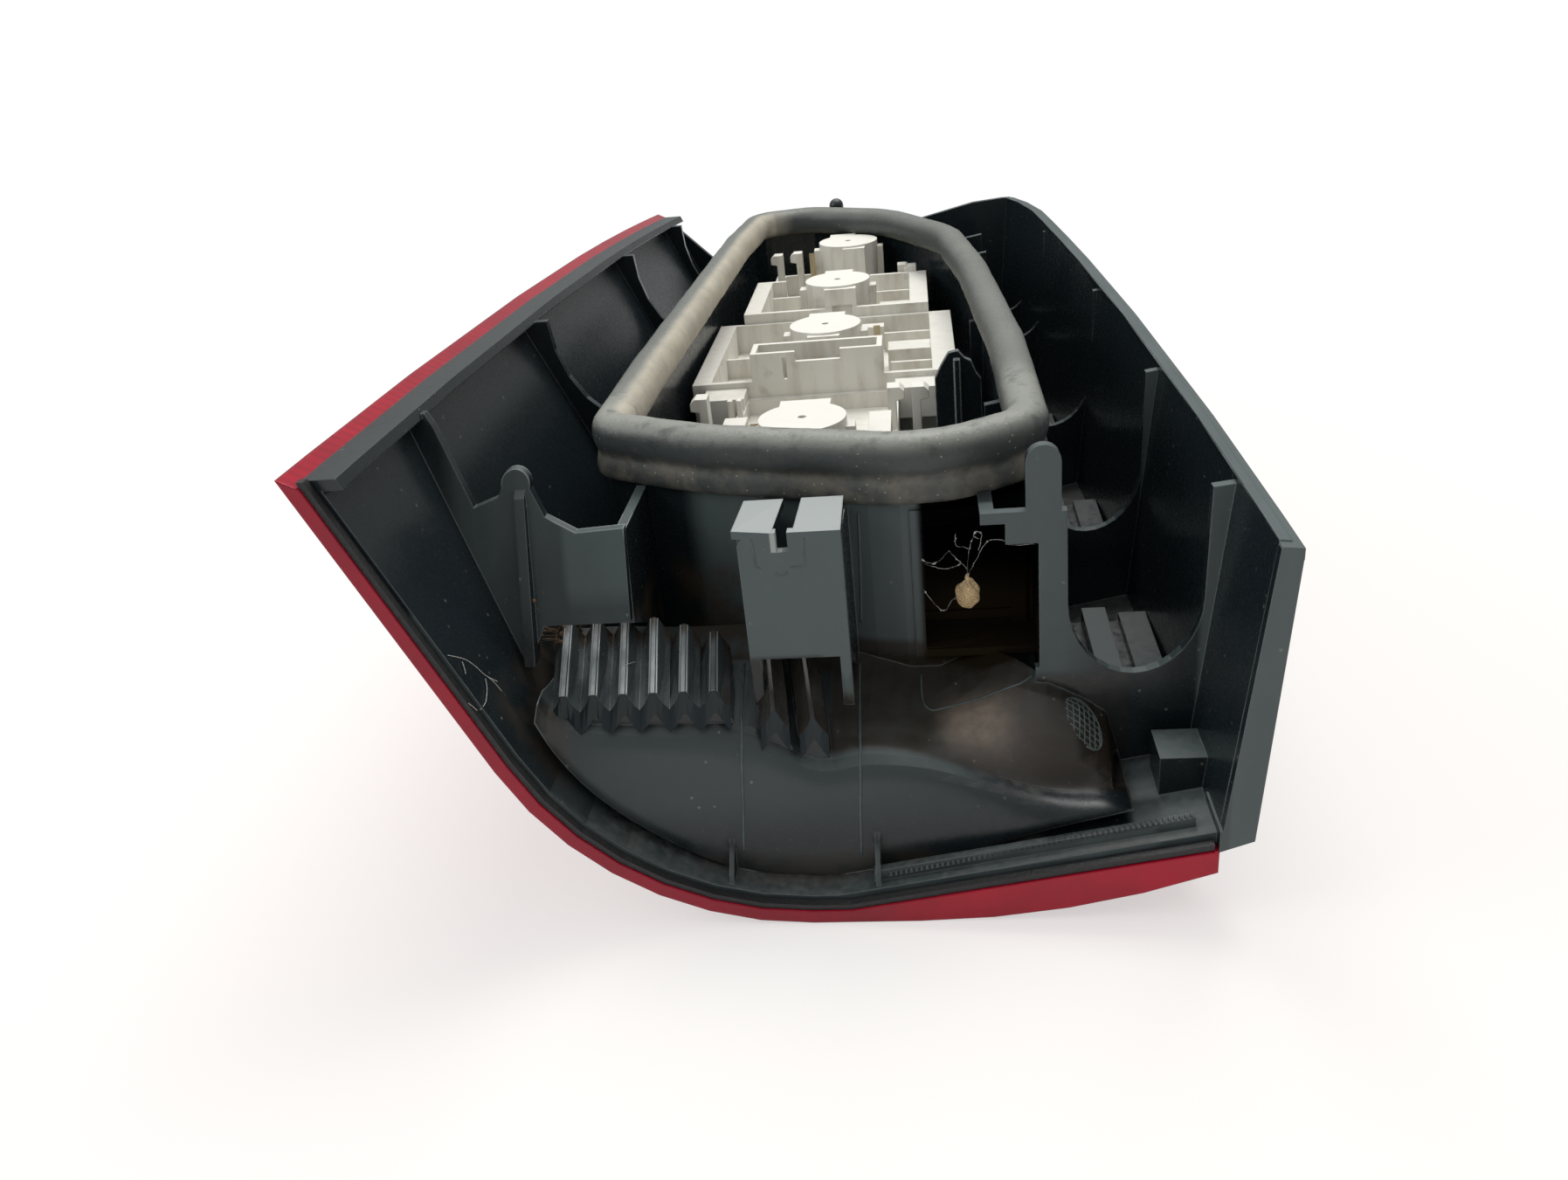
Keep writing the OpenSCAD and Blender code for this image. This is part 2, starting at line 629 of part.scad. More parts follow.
module socket(k) {
    top = socket_h + socket_rise[k];
    r = socket_d / 2;
    bulb_at(k) {
        translate([0, 0, plate_h - 6]) cylinder(r = r, h = top - plate_h + 6, $fn = 48);
        for (s = [-1, 1])
            translate([s * (r + 0.5) - 2, -3, plate_h]) cube([4, 6, top - plate_h - 3]);
        box(far_keys[k][0], far_keys[k][1], r - 5, r + 3, plate_h, top);
        box(near_keys[k][0], near_keys[k][1], -r - 2, -r + 5, plate_h, top - 0.8);
    }
}

module socket_bore(k) {
    bulb_at(k) {
        translate([0, 0, carrier_low]) cylinder(d = base_d + 0.6, h = 81 - carrier_low, $fn = 48);
        translate([0, 0, carrier_low]) cylinder(d = 2.6, h = 60, $fn = 24);
        translate([-base_d / 2 - 1.9, -1.5, plate_h - 7]) cube([base_d + 3.8, 3, 10]);
    }
}

// Snap hook with its beak towards s
module hook(x, y, s, top) {
    box(x - 1.4, x + 1.4, y - 3, y + 3, plate_h + 1, top - 4);
    translate([x, y + 3, top - 6])
    rotate([90, 0, 0])
    linear_extrude(6)
    polygon([[-1.4 * s, 0], [-1.4 * s, 6], [2.6 * s, 6], [4.1 * s, 4.6], [4.1 * s, 2.2], [1.4 * s, 1.6],
             [1.4 * s, 0]]);
}

module connector_box() {
    difference() {
        box(conn[0], conn[1], conn[2], conn[3], plate_h + 1, socket_h);
        box(conn[0] + 2, conn[1] - 2, conn[2] + 2, conn[3] - 2, plate_h + plate_t, socket_h + 1);
        box(-13, 3, conn[2] - 1, conn[2] + 3, socket_h - 3.6, socket_h + 1);
        box(-17.6, -16.3, conn[2] - 1, conn[2] + 3, plate_h + plate_t, socket_h - 2);
        box(-8.5, -3.5, conn[2] - 1, conn[2] + 3, plate_h + plate_t, socket_h - 10);
    }
}

module bulb_carrier() {
    color([0.86, 0.85, 0.78])
    difference() {
        union() {
            for (k = [0 : 3])
                carrier_shell(foot[k], foot_top[k], foot_wall[k]);
            for (k = [0 : 3])
                socket(k);
            connector_box();
            // Cross webs: x0, x1, y, top
            for (w = [[-35, -25, 88.8, 78], [-35, -14, 118, 78], [12, 29, 108, 80], [17, 36, 53.5, 76],
                      [20, 36, 12, 76], [-45, -26, 30, 76], [8, 22, -66, 76]])
                box(w[0], w[1], w[2], w[2] + 1.8, plate_h + 1, w[3]);
            // Ledges and blocks: x0, x1, y0, y1, top
            for (b = [[15, 28, 80, 90, 80], [8, 17, 57, 63, 78], [19, 36, 22, 34, 78],
                      [-46, -31, -27, -12, 78],
                      [22, 38, -26, -12, 78], [-32, -24.6, -85, -65, 84], [14.5, 21.5, -106, -67, 84],
                      [-32.6, -30.9, -54, -51, 86], [-29.6, -27.9, -54, -51, 86]])
                box(b[0], b[1], b[2], b[3], plate_h + 1, b[4]);
            for (h = [[-38, -66, -1, 92], [21.5, -54, 1, 88], [29.4, -61, 1, 90], [-32.5, 150, -1, 91],
                      [-23, 147, -1, 92], [24, 130, 1, 87], [29.5, 128.5, -1, 86.5]])
                hook(h[0], h[1], h[2], h[3]);
            for (b = [[-41, -32, -72, -58], [22, 33, -68, -50], [12, 32, 123, 133]])
                box(b[0], b[1], b[2], b[3], plate_h, plate_h + plate_t);
        }
        for (k = [0 : 3])
            socket_bore(k);
        box(-4, 4, 64, 70, plate_h + plate_t, 85);
        box(-28, 10, 122, 130, 74, 85);
    }
}

// Five blades in the connector box
module connector_pins() {
    color([0.75, 0.68, 0.45])
    for (k = [0 : 4]) {
        x = mix(conn[0] + 7, conn[1] - 7, k / 4);
        box(x - 1.2, x + 1.2, -6.4, -5.6, plate_h + plate_t, 85);
    }
}

// Stamped strip that runs along the carrier's plate and turns up beside a socket
module contact_strip(x, y0, y1, top) {
    z = plate_h + plate_t;
    color([0.78, 0.7, 0.5])
    union() {
        box(x, x + 2.6, y0, y1, z, z + 0.6);
        box(x, x + 2.6, y1 - 0.7, y1, z, top);
    }
}

// Bulb, cap up: the glass hangs in its bowl and the base fills the socket
base_low = 58;
base_high = 78;

module bulb_glass() {
    r = glass_d / 2;
    ctr = base_low - r - 4.5;
    color([0.9, 0.92, 0.93])
    rotate_extrude($fn = 48)
    polygon(concat([[0, base_low - gap], [base_d / 2 - 1, base_low - gap], [base_d / 2 - 1, base_low - 3]],
                   [for (q = [50 : -20 : -90]) [r * cos(q), ctr + r * sin(q)]]));
}

module bulb_base() {
    color([0.72, 0.66, 0.5])
    rotate_extrude($fn = 48)
    polygon([[0, base_low], [base_d / 2, base_low], [base_d / 2, base_high - 2], [base_d / 2 - 2, base_high],
             [2.2, base_high], [1.6, base_high + 1.5], [0, base_high + 1.5]]);
}

// Locating pin with a round nose and a shank through the shelf
module locating_pin() {
    color([0.1, 0.11, 0.12])
    translate([pin_x, pin_y, 0])
    rotate_extrude($fn = 48)
    polygon(concat([[0, pin_shelf - 9], [pin_d / 2 - 1, pin_shelf - 9], [pin_d / 2 - 1, pin_shelf],
                    [pin_d / 2 + 1.2, pin_shelf], [pin_d / 2 + 1.2, pin_shelf + 2],
                    [pin_d / 2, pin_shelf + 2]],
                   [for (q = [0 : 15 : 90]) [pin_d / 2 * cos(q), pin_h - pin_d / 2 + pin_d / 2 * sin(q)]]));
}

// Push-on nut under the shelf
module locating_pin_nut() {
    color([0.6, 0.62, 0.64])
    translate([pin_x, pin_y, pin_shelf - 5 - 2 - gap])
    difference() {
        cylinder(d = pin_d + 3, h = 2, $fn = 48);
        translate([0, 0, -1]) cylinder(d = pin_d - 1.8, h = 4, $fn = 48);
    }
}

module bulb_at(k) {
    translate([bulb_xs[k], bulb_ys[k], 0]) children();
}

// Everything is drawn from the datum plane, which lies face_depth above the ground
module placed() {
    translate([0, 0, face_depth]) children();
}

placed() housing();
placed() lens();
placed() lens_bead();
placed() reflex_panel();
placed() reflector();
placed() gasket();
placed() bulb_carrier();
placed() connector_pins();
placed() contact_strip(-24, -104, -66, 82);  // contact_strip_1
placed() contact_strip(-24, 4, 28, 80);  // contact_strip_2
placed() contact_strip(13, 4, 52, 80);  // contact_strip_3
placed() contact_strip(-18, 129, 143, 92);  // contact_strip_4
placed() bulb_at(0) bulb_glass();  // bulb_glass_1
placed() bulb_at(1) bulb_glass();  // bulb_glass_2
placed() bulb_at(2) bulb_glass();  // bulb_glass_3
placed() bulb_at(3) bulb_glass();  // bulb_glass_4
placed() bulb_at(0) bulb_base();  // bulb_base_1
placed() bulb_at(1) bulb_base();  // bulb_base_2
placed() bulb_at(2) bulb_base();  // bulb_base_3
placed() bulb_at(3) bulb_base();  // bulb_base_4
placed() locating_pin();
placed() locating_pin_nut();
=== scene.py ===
"""Finishes, small moulded details, wear and stage for a tail light cluster seen from its back."""

import math
import random

import bpy
from bpy.props import FloatProperty, FloatVectorProperty, IntProperty, PointerProperty
from mathutils import Matrix, Vector, noise
from mathutils.bvhtree import BVHTree


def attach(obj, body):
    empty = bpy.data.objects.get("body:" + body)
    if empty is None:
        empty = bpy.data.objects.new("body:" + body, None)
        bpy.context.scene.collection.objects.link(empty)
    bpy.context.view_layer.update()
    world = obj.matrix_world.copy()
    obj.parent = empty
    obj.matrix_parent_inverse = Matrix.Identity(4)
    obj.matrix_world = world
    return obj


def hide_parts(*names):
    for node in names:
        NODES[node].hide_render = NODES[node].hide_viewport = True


bl_info = {
    "name": "Tail light cluster",
    "version": (1, 0, 0),
    "blender": (4, 5, 0),
    "location": "3D View > Sidebar > Lamp",
    "description": "Dresses the packed tail light cluster with finishes, details and a stage",
    "category": "Object",
}

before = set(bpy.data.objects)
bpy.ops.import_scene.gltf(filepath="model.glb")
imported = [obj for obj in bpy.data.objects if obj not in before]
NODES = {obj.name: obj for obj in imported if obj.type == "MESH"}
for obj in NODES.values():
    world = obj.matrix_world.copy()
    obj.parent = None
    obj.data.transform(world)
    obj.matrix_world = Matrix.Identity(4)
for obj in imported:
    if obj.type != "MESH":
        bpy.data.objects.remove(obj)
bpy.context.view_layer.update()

MM = 0.001
DATUM = 2.8                     # height of the housing's datum plane above the ground, mm
PHOTO_WIDTH = 1795
PHOTO_FOCAL = 1453.35           # focal length in pixels of the photograph
SENSOR = 36.0

# Outline of a crumb or cocoon: share by which it swells and shrinks, fineness, reach of its random start
LUMP_SWELL = 0.35
LUMP_FINENESS = 1.6
LUMP_START = 40
ASKEW = Vector((0.31, -0.22, 0.92))     # crossed with a thread's direction, it gives a side of the thread

# Outline of the seal: corners with their radii, mm, going round against the clock
SEAL_CORNERS = [(-62, -123, 13), (-28, -141, 60), (34, -160, 40), (64.5, -139, 20), (64.3, -60, 100),
                (58.5, 48, 150), (51, 112, 60), (22, 168, 50), (-20, 191, 28),
                (-50, 183, 18), (-55, 130, 150), (-61.5, -60, 150)]


def colour(name, description, default):
    return FloatVectorProperty(name=name, description=description, default=default, subtype="COLOR",
                               size=3, min=0, max=1)


def length(name, description, default):
    return FloatProperty(name=name, description=description, default=default, min=0, unit="LENGTH",
                         subtype="DISTANCE", precision=5)


class LampHousingSettings(bpy.types.PropertyGroup):
    plastic: colour("Plastic", "Black plastic where it is clean", (0.0085, 0.0130, 0.0152))
    bloom: colour("Bloom", "Grey bloom on the faces that the weather reached", (0.077, 0.103, 0.104))
    # Colour of the scuffed edges, and also of the painted highlight on the flutes' ridges
    scuff_and_highlight: colour("Scuff", "Pale edges, where the plastic is scuffed", (0.26, 0.29, 0.29))
    soil: colour("Soil", "Brown road dust in the hollows", (0.052, 0.037, 0.024))
    polished: colour("Polished", "Flanks of the flutes, rubbed smooth", (0.050, 0.062, 0.066))
    dust: colour("Dust", "Dry dust on faces that look up", (0.20, 0.20, 0.185))
    # Whitened plastic at breaks, and also the colour of the painted highlight on the tower's lips
    stress_white_and_highlight: colour("Stress", "Whitened plastic at broken edges", (0.50, 0.54, 0.53))
    gloss: FloatProperty(name="Roughness", description="Roughness of the clean plastic", default=0.24,
                         min=0, max=1, subtype="FACTOR")
    edge: length("Edge", "Radius of the scuffed edges", 0.0005)
    swell: length("Swell", "Radius over which the near bulge's shading is evened", 0.0035)


class LampMarkSettings(bpy.types.PropertyGroup):
    line: length("Line", "Radius of the parting lines", 0.00034)
    grip: length("Grip", "Spacing of the grip patch's diamonds", 0.0019)
    tooth: length("Tooth", "Pitch of the rail's teeth", 0.0013)


class LampDebrisSettings(bpy.types.PropertyGroup):
    silk: length("Silk", "Radius of the cobweb's threads", 0.00006)
    hair: length("Hair", "Radius of the loose hairs", 0.00008)
    cocoon: length("Cocoon", "Height of the cocoon", 0.0078)
    fibres: IntProperty(name="Fibres", description="Number of brown fibres in the hollow", default=34, min=0)


class LampLensSettings(bpy.types.PropertyGroup):
    red: colour("Red", "Colour of the lens", (0.60, 0.003, 0.032))
    haze: colour("Haze", "Scuffed red at the near end", (0.24, 0.008, 0.026))
    pitch: length("Pitch", "Spacing of the stripes inside the lens", 0.004)


class LampSealSettings(bpy.types.PropertyGroup):
    rubber: colour("Rubber", "Grey foam rubber", (0.048, 0.056, 0.055))
    # Pale bloom on the crown, which also stands for the painted highlight along it
    bloom: colour("Bloom", "Pale bloom on the seal's crown", (0.31, 0.32, 0.28))
    soil: colour("Soil", "Beige dust rubbed into the seal", (0.56, 0.51, 0.41))
    wave: length("Wave", "Unevenness of the foam", 0.00022)


class LampCarrierSettings(bpy.types.PropertyGroup):
    ivory: colour("Ivory", "Colour of the carrier", (0.78, 0.765, 0.70))
    soil: colour("Soil", "Beige soiling low on the carrier", (0.40, 0.33, 0.24))
    edge: length("Edge", "Radius of the carrier's edges", 0.0005)


class LampStageSettings(bpy.types.PropertyGroup):
    floor: colour("Floor", "Colour of the floor", (0.95, 0.895, 0.85))
    sky: FloatProperty(name="Sky", description="Strength of the sky's fill", default=0.50, min=0)
    key: FloatProperty(name="Key", description="Strength of the overhead soft box", default=13.0, min=0,
                       unit="POWER")
    whiteness: FloatProperty(name="Whiteness", description="Share of plain white in the floor as it is seen",
                             default=0.55, min=0, max=1, subtype="FACTOR")
    size: length("Size", "Width of the floor", 14.0)
    near: length("Near", "Distance at which the floor begins to fade to white", 0.26)
    far: length("Far", "Distance beyond which the floor is plain white", 0.52)


SETTINGS = {
    "lamp_housing": LampHousingSettings,
    "lamp_marks": LampMarkSettings,
    "lamp_debris": LampDebrisSettings,
    "lamp_lens": LampLensSettings,
    "lamp_seal": LampSealSettings,
    "lamp_carrier": LampCarrierSettings,
    "lamp_stage": LampStageSettings,
}


class Finish:
    """A material whose nodes are added one at a time, in object space and metres."""

    def __init__(self, name, tint=(0.5, 0.5, 0.5), roughness=0.5, **sockets):
        self.material = bpy.data.materials.new(name)
        self.material.use_nodes = True
        self.tree = self.material.node_tree
        self.shader = self.tree.nodes["Principled BSDF"]
        self.set("Base Color", (*tint, 1))
        self.set("Roughness", roughness)
        for socket, number in sockets.items():
            self.set(socket.replace("_", " "), number)
        self.place = self.node("ShaderNodeTexCoord").outputs["Object"]
        geometry = self.node("ShaderNodeNewGeometry")
        self.true_normal = geometry.outputs["True Normal"]
        self.normal = self.axes(geometry.outputs["Normal"])
        self.at = self.axes(self.place)

    def node(self, kind, **settings):
        made = self.tree.nodes.new(kind)
        for key, item in settings.items():
            setattr(made, key, item)
        return made

    def set(self, socket, item):
        target = self.shader.inputs[socket] if isinstance(socket, str) else socket
        if isinstance(item, bpy.types.NodeSocket):
            self.tree.links.new(item, target)
        else:
            target.default_value = item

    def axes(self, vector):
        split = self.node("ShaderNodeSeparateXYZ")
        self.set(split.inputs[0], vector)
        return split.outputs

    def math(self, operation, a, b=0.0, clamp=False):
        made = self.node("ShaderNodeMath", operation=operation, use_clamp=clamp)
        self.set(made.inputs[0], a)
        self.set(made.inputs[1], b)
        return made.outputs[0]

    def step(self, item, low, high):
        """Smooth step from 0 at low to 1 at high; low may be above high."""
        made = self.node("ShaderNodeMapRange", interpolation_type="SMOOTHSTEP")
        self.set(made.inputs["Value"], item)
        if low < high:
            ends = (low, high, 0, 1)
        else:
            ends = (high, low, 1, 0)
        for name, end in zip(("From Min", "From Max", "To Min", "To Max"), ends):
            made.inputs[name].default_value = end
        return made.outputs[0]

    def scaled(self, item, low, high):
        made = self.node("ShaderNodeMapRange")
        self.set(made.inputs["Value"], item)
        made.inputs["To Min"].default_value = low
        made.inputs["To Max"].default_value = high
        return made.outputs[0]

    def all(self, first, *others):
        """Product of shares."""
        for other in others:
            first = self.math("MULTIPLY", first, other)
        return first

    def any(self, first, *others):
        """Largest of shares."""
        for other in others:
            first = self.math("MAXIMUM", first, other)
        return first

    def less(self, whole, share):
        return self.math("SUBTRACT", whole, share, clamp=True)

    def mix(self, share, a, b):
        made = self.node("ShaderNodeMix", data_type="RGBA")
        self.set(made.inputs["Factor"], share)
        for socket, item in ((made.inputs[6], a), (made.inputs[7], b)):
            self.set(socket, item if isinstance(item, bpy.types.NodeSocket) else (*item, 1))
        return made.outputs[2]

    def stretched(self, stretch):
        made = self.node("ShaderNodeMapping")
        self.set(made.inputs["Vector"], self.place)
        made.inputs["Scale"].default_value = stretch
        return made.outputs[0]

    def grain(self, size, detail=3.0, stretch=(1, 1, 1), contrast=None):
        """Noise whose blotches are about size millimetres across."""
        made = self.node("ShaderNodeTexNoise")
        self.set(made.inputs["Vector"], self.stretched(stretch))
        made.inputs["Scale"].default_value = 1 / (size * MM)
        made.inputs["Detail"].default_value = detail
        if contrast is None:
            return made.outputs["Fac"]
        return self.step(made.outputs["Fac"], 0.5 - contrast, 0.5 + contrast)

    def specks(self, size, share):
        made = self.node("ShaderNodeTexVoronoi")
        self.set(made.inputs["Vector"], self.place)
        made.inputs["Scale"].default_value = 1 / (size * MM)
        return self.step(made.outputs["Distance"], share, share * 0.4)

    def within(self, low, high, soft=3.0):
        """1 inside the box from low to high in millimetres, fading over soft; None leaves a side open."""
        share = None
        for axis, (a, b) in enumerate(zip(low, high)):
            for end, sign in ((a, 1), (b, -1)):
                if end is None:
                    continue
                edge = self.step(self.at[axis], (end - sign * soft) * MM, (end + sign * soft) * MM)
                share = edge if share is None else self.math("MULTIPLY", share, edge)
        return share

    def edges(self, radius, low=0.02, high=0.25):
        """Share of scuffed edge, from how far a rounded normal turns from the true one."""
        bevel = self.node("ShaderNodeBevel", samples=6)
        bevel.inputs["Radius"].default_value = radius
        dot = self.node("ShaderNodeVectorMath", operation="DOT_PRODUCT")
        self.set(dot.inputs[0], bevel.outputs[0])
        self.set(dot.inputs[1], self.true_normal)
        return self.step(dot.outputs["Value"], 1 - low, 1 - high)

    def rounded(self, radius):
        bevel = self.node("ShaderNodeBevel", samples=6)
        self.set(bevel.inputs["Radius"], radius)
        return bevel.outputs[0]

    def bump(self, height, depth, normal=None):
        made = self.node("ShaderNodeBump")
        made.inputs["Distance"].default_value = depth
        made.inputs["Strength"].default_value = 1.0
        self.set(made.inputs["Height"], height)
        if normal is not None:
            self.set(made.inputs["Normal"], normal)
        return made.outputs[0]

    def give(self, *objects):
        for thing in objects:
            thing.data.materials.clear()
            thing.data.materials.append(self.material)


def piece_from(name, points, faces, smooth=True):
    """A new piece that rides on the lamp, from points in millimetres above the ground."""
    mesh = bpy.data.meshes.new(name)
    mesh.from_pydata([Vector(p) * MM for p in points], [], faces)
    mesh.update()
    thing = bpy.data.objects.new(name, mesh)
    bpy.context.scene.collection.objects.link(thing)
    for face in mesh.polygons:
        face.use_smooth = smooth
    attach(thing, "root")
    return thing


def applied(thing, kind, **settings):
    """Adds a modifier and applies it at once."""
    modifier = thing.modifiers.new(kind.lower(), kind)
    for key, item in settings.items():
        setattr(modifier, key, item)
    bpy.context.view_layer.objects.active = thing
    with bpy.context.temp_override(object=thing, active_object=thing, selected_objects=[thing]):
        bpy.ops.object.modifier_apply(modifier=modifier.name)
    return thing


def seal_path(step_deg):
    """Points and inward normals round the seal's outside, with arcs at the corners."""
    path = []
    count = len(SEAL_CORNERS)
    for i, (x, y, radius) in enumerate(SEAL_CORNERS):
        here = Vector((x, y))
        before = Vector(SEAL_CORNERS[i - 1][:2])
        after = Vector(SEAL_CORNERS[(i + 1) % count][:2])
        u = (here - before).normalized()
        w = (after - here).normalized()
        turn = math.acos(max(-1, min(1, u.dot(w))))
        start = here - u * radius * math.tan(turn / 2)
        inward = Vector((-u.y, u.x))
        centre = start + inward * radius
        steps = max(2, math.ceil(math.degrees(turn) / step_deg))
        for k in range(steps + 1):
            normal = inward.copy()
            normal.rotate(Matrix.Rotation(turn * k / steps, 2))
            path.append((centre - normal * radius, normal))
    return path


def evened(path, spacing):
    """Fills the straight stretches of a closed path with points about spacing apart."""
    full = []
    for i, (point, normal) in enumerate(path):
        following, next_normal = path[(i + 1) % len(path)]
        steps = max(1, round((following - point).length / spacing))
        for k in range(steps):
            share = k / steps
            full.append((point.lerp(following, share), normal.lerp(next_normal, share).normalized()))
    return full


class Skin:
    """The housing's surface, onto which small details are laid."""

    def __init__(self, housing):
        points = [housing.matrix_world @ vertex.co for vertex in housing.data.vertices]
        self.tree = BVHTree.FromPolygons(points, [list(face.vertices) for face in housing.data.polygons])

    def laid(self, points, lift=0.0):
        """The nearest places on the surface to points in millimetres, lifted off it by lift."""
        places = []
        for point in points:
            near, normal, _, _ = self.tree.find_nearest(Vector(point) * MM)
            places.append(near / MM + normal * lift)
        return places


def curved(points, steps=6):
    """Fills a line of points in with a smooth curve through them."""
    points = [Vector(p) for p in points]
    full = []
    for i in range(len(points) - 1):
        a, b, c, d = points[max(i - 1, 0)], points[i], points[i + 1], points[min(i + 2, len(points) - 1)]
        for k in range(steps):
            t = k / steps
            full.append((2 * b + t * (c - a) + t * t * (2 * a - 5 * b + 4 * c - d)
                         + t * t * t * (3 * b - a - 3 * c + d)) / 2)
    return full + [points[-1]]


class Threads:
    """Gathers round threads and rough crumbs, in millimetres, into one mesh."""

    def __init__(self):
        self.points, self.faces = [], []

    def add(self, line, radius, sides=5, taper=1.0):
        first = len(self.points)
        count = len(line)
        for i, spot in enumerate(line):
            ahead = (line[min(i + 1, count - 1)] - line[max(i - 1, 0)]).normalized()
            side = ahead.cross(ASKEW).normalized()
            over = side.cross(ahead)
            size = radius * (1 + (taper - 1) * i / max(1, count - 1))
            for k in range(sides):
                turn = 2 * math.pi * k / sides
                self.points.append(spot + (side * math.cos(turn) + over * math.sin(turn)) * size)
        for i in range(count - 1):
            for k in range(sides):
                a, b = first + i * sides + k, first + i * sides + (k + 1) % sides
                self.faces.append((a, b, b + sides, a + sides))
        self.faces.append([first + k for k in range(sides)][::-1])
        self.faces.append([first + (count - 1) * sides + k for k in range(sides)])

    def lump(self, centre, size, rng, stretch=(1, 1, 1), rings=5, around=7):
        """A rough crumb with its own random outline."""
        first = len(self.points)
        seed = Vector((rng.random(), rng.random(), rng.random())) * LUMP_START
        for i in range(rings + 1):
            polar = math.pi * i / rings
            for k in range(around):
                turn = 2 * math.pi * k / around
                way = Vector((math.sin(polar) * math.cos(turn), math.sin(polar) * math.sin(turn),
                              math.cos(polar)))
                reach = size * (1 + LUMP_SWELL * noise.noise(way * LUMP_FINENESS + seed))
                self.points.append(Vector(centre) + Vector([w * reach * s for w, s in zip(way, stretch)]))
        for i in range(rings):
            for k in range(around):
                a, b = first + i * around + k, first + i * around + (k + 1) % around
                self.faces.append((a, a + around, b + around, b))

    def piece(self, name):
        return piece_from(name, self.points, self.faces)


class LAMP_OT_stage(bpy.types.Operator):
    """Adds the camera, the floor, the sky and the two area lamps"""
    bl_idname = "lamp.stage"
    bl_label = "Stage"

    # The photograph's camera: its place in metres, its right-hand side and the way it looks
    CAMERA_PLACE = (0.0323, -0.4520, 0.2155)
    CAMERA_RIGHT = Vector((0.9919, 0.0842, -0.0949))
    CAMERA_AHEAD = Vector((-0.1177, 0.8903, -0.4399))
    FLOOR_DROP = 0.0002         # how far the floor lies below the lamp
    # Shares of the sky's strength at the horizon and overhead, and the height at which overhead begins
    SKY_LOW, SKY_HIGH, SKY_TOP = 0.55, 1.5, 0.9
    # Each area lamp: name, place and aim in metres, width, share of the key's power, colour
    LAMPS = (("soft_box", (0.15, 0.55, 1.25), (0.0, 0.0, 0.05), 1.0, 1.0, (1.0, 0.99, 0.97)),
             ("window_fill", (-1.1, -0.3, 0.75), (0.0, -0.05, 0.05), 0.8, 0.35, (0.93, 0.97, 1.0)))
    LAMP_DEPTH = 0.7            # of an area lamp, as a share of its width

    def execute(self, context):
        settings = context.scene.lamp_stage
        self.add_camera(context)
        self.add_floor(context, settings)
        self.add_sky(context, settings)
        self.add_lamps(context, settings)
        context.scene.view_settings.view_transform = "Standard"
        return {"FINISHED"}

    def add_camera(self, context):
        right = self.CAMERA_RIGHT.normalized()
        ahead = (self.CAMERA_AHEAD - right * self.CAMERA_AHEAD.dot(right)).normalized()
        up = right.cross(ahead)
        camera = bpy.data.cameras.new("photo_camera")
        camera.sensor_width = SENSOR
        camera.sensor_fit = "HORIZONTAL"
        camera.lens = SENSOR * PHOTO_FOCAL / PHOTO_WIDTH
        camera.clip_start = 0.01
        holder = bpy.data.objects.new("photo_camera", camera)
        turn = Matrix((right, up, -ahead)).transposed().to_4x4()
        holder.matrix_world = Matrix.Translation(self.CAMERA_PLACE) @ turn
        context.scene.collection.objects.link(holder)
        context.scene.camera = holder

    def add_floor(self, context, settings):
        half = settings.size / 2
        mesh = bpy.data.meshes.new("floor")
        corners = [(-half, -half, 0), (half, -half, 0), (half, half, 0), (-half, half, 0)]
        mesh.from_pydata(corners, [], [(0, 1, 2, 3)])
        floor = bpy.data.objects.new("floor", mesh)
        floor.location.z = -self.FLOOR_DROP
        context.scene.collection.objects.link(floor)
        paper = Finish("floor_paper", settings.floor, 0.6, Specular_IOR_Level=0.1)
        paper.give(floor)
        paper.set("Roughness", paper.scaled(paper.grain(40), 0.55, 0.7))
        white = paper.node("ShaderNodeEmission")
        path = paper.node("ShaderNodeLightPath")
        seen = paper.any(path.outputs["Is Camera Ray"], path.outputs["Is Transmission Ray"],
                         path.outputs["Is Glossy Ray"])
        away = paper.node("ShaderNodeVectorMath", operation="LENGTH")
        paper.set(away.inputs[0], paper.place)
        far = paper.step(away.outputs["Value"], settings.near, settings.far)
        share = paper.math("ADD", paper.all(far, 1 - settings.whiteness), settings.whiteness)
        blend = paper.node("ShaderNodeMixShader")
        paper.set(blend.inputs[0], paper.all(seen, share))
        paper.set(blend.inputs[1], paper.shader.outputs[0])
        paper.set(blend.inputs[2], white.outputs[0])
        paper.set(paper.tree.nodes["Material Output"].inputs["Surface"], blend.outputs[0])

    def add_sky(self, context, settings):
        world = bpy.data.worlds.new("studio_sky")
        world.use_nodes = True
        context.scene.world = world
        tree = world.node_tree
        back = tree.nodes["Background"]
        place = tree.nodes.new("ShaderNodeTexCoord")
        split = tree.nodes.new("ShaderNodeSeparateXYZ")
        tree.links.new(place.outputs["Generated"], split.inputs[0])
        shade = tree.nodes.new("ShaderNodeMapRange")
        shade.inputs["From Min"].default_value = 0.0
        shade.inputs["From Max"].default_value = self.SKY_TOP
        shade.inputs["To Min"].default_value = settings.sky * self.SKY_LOW
        shade.inputs["To Max"].default_value = settings.sky * self.SKY_HIGH
        tree.links.new(split.outputs[2], shade.inputs["Value"])
        path = tree.nodes.new("ShaderNodeLightPath")
        seen = tree.nodes.new("ShaderNodeMix")
        seen.data_type = "FLOAT"
        tree.links.new(path.outputs["Is Camera Ray"], seen.inputs["Factor"])
        tree.links.new(shade.outputs[0], seen.inputs[2])
        seen.inputs[3].default_value = 1.0
        tree.links.new(seen.outputs[0], back.inputs["Strength"])
        back.inputs["Color"].default_value = (1, 1, 1, 1)

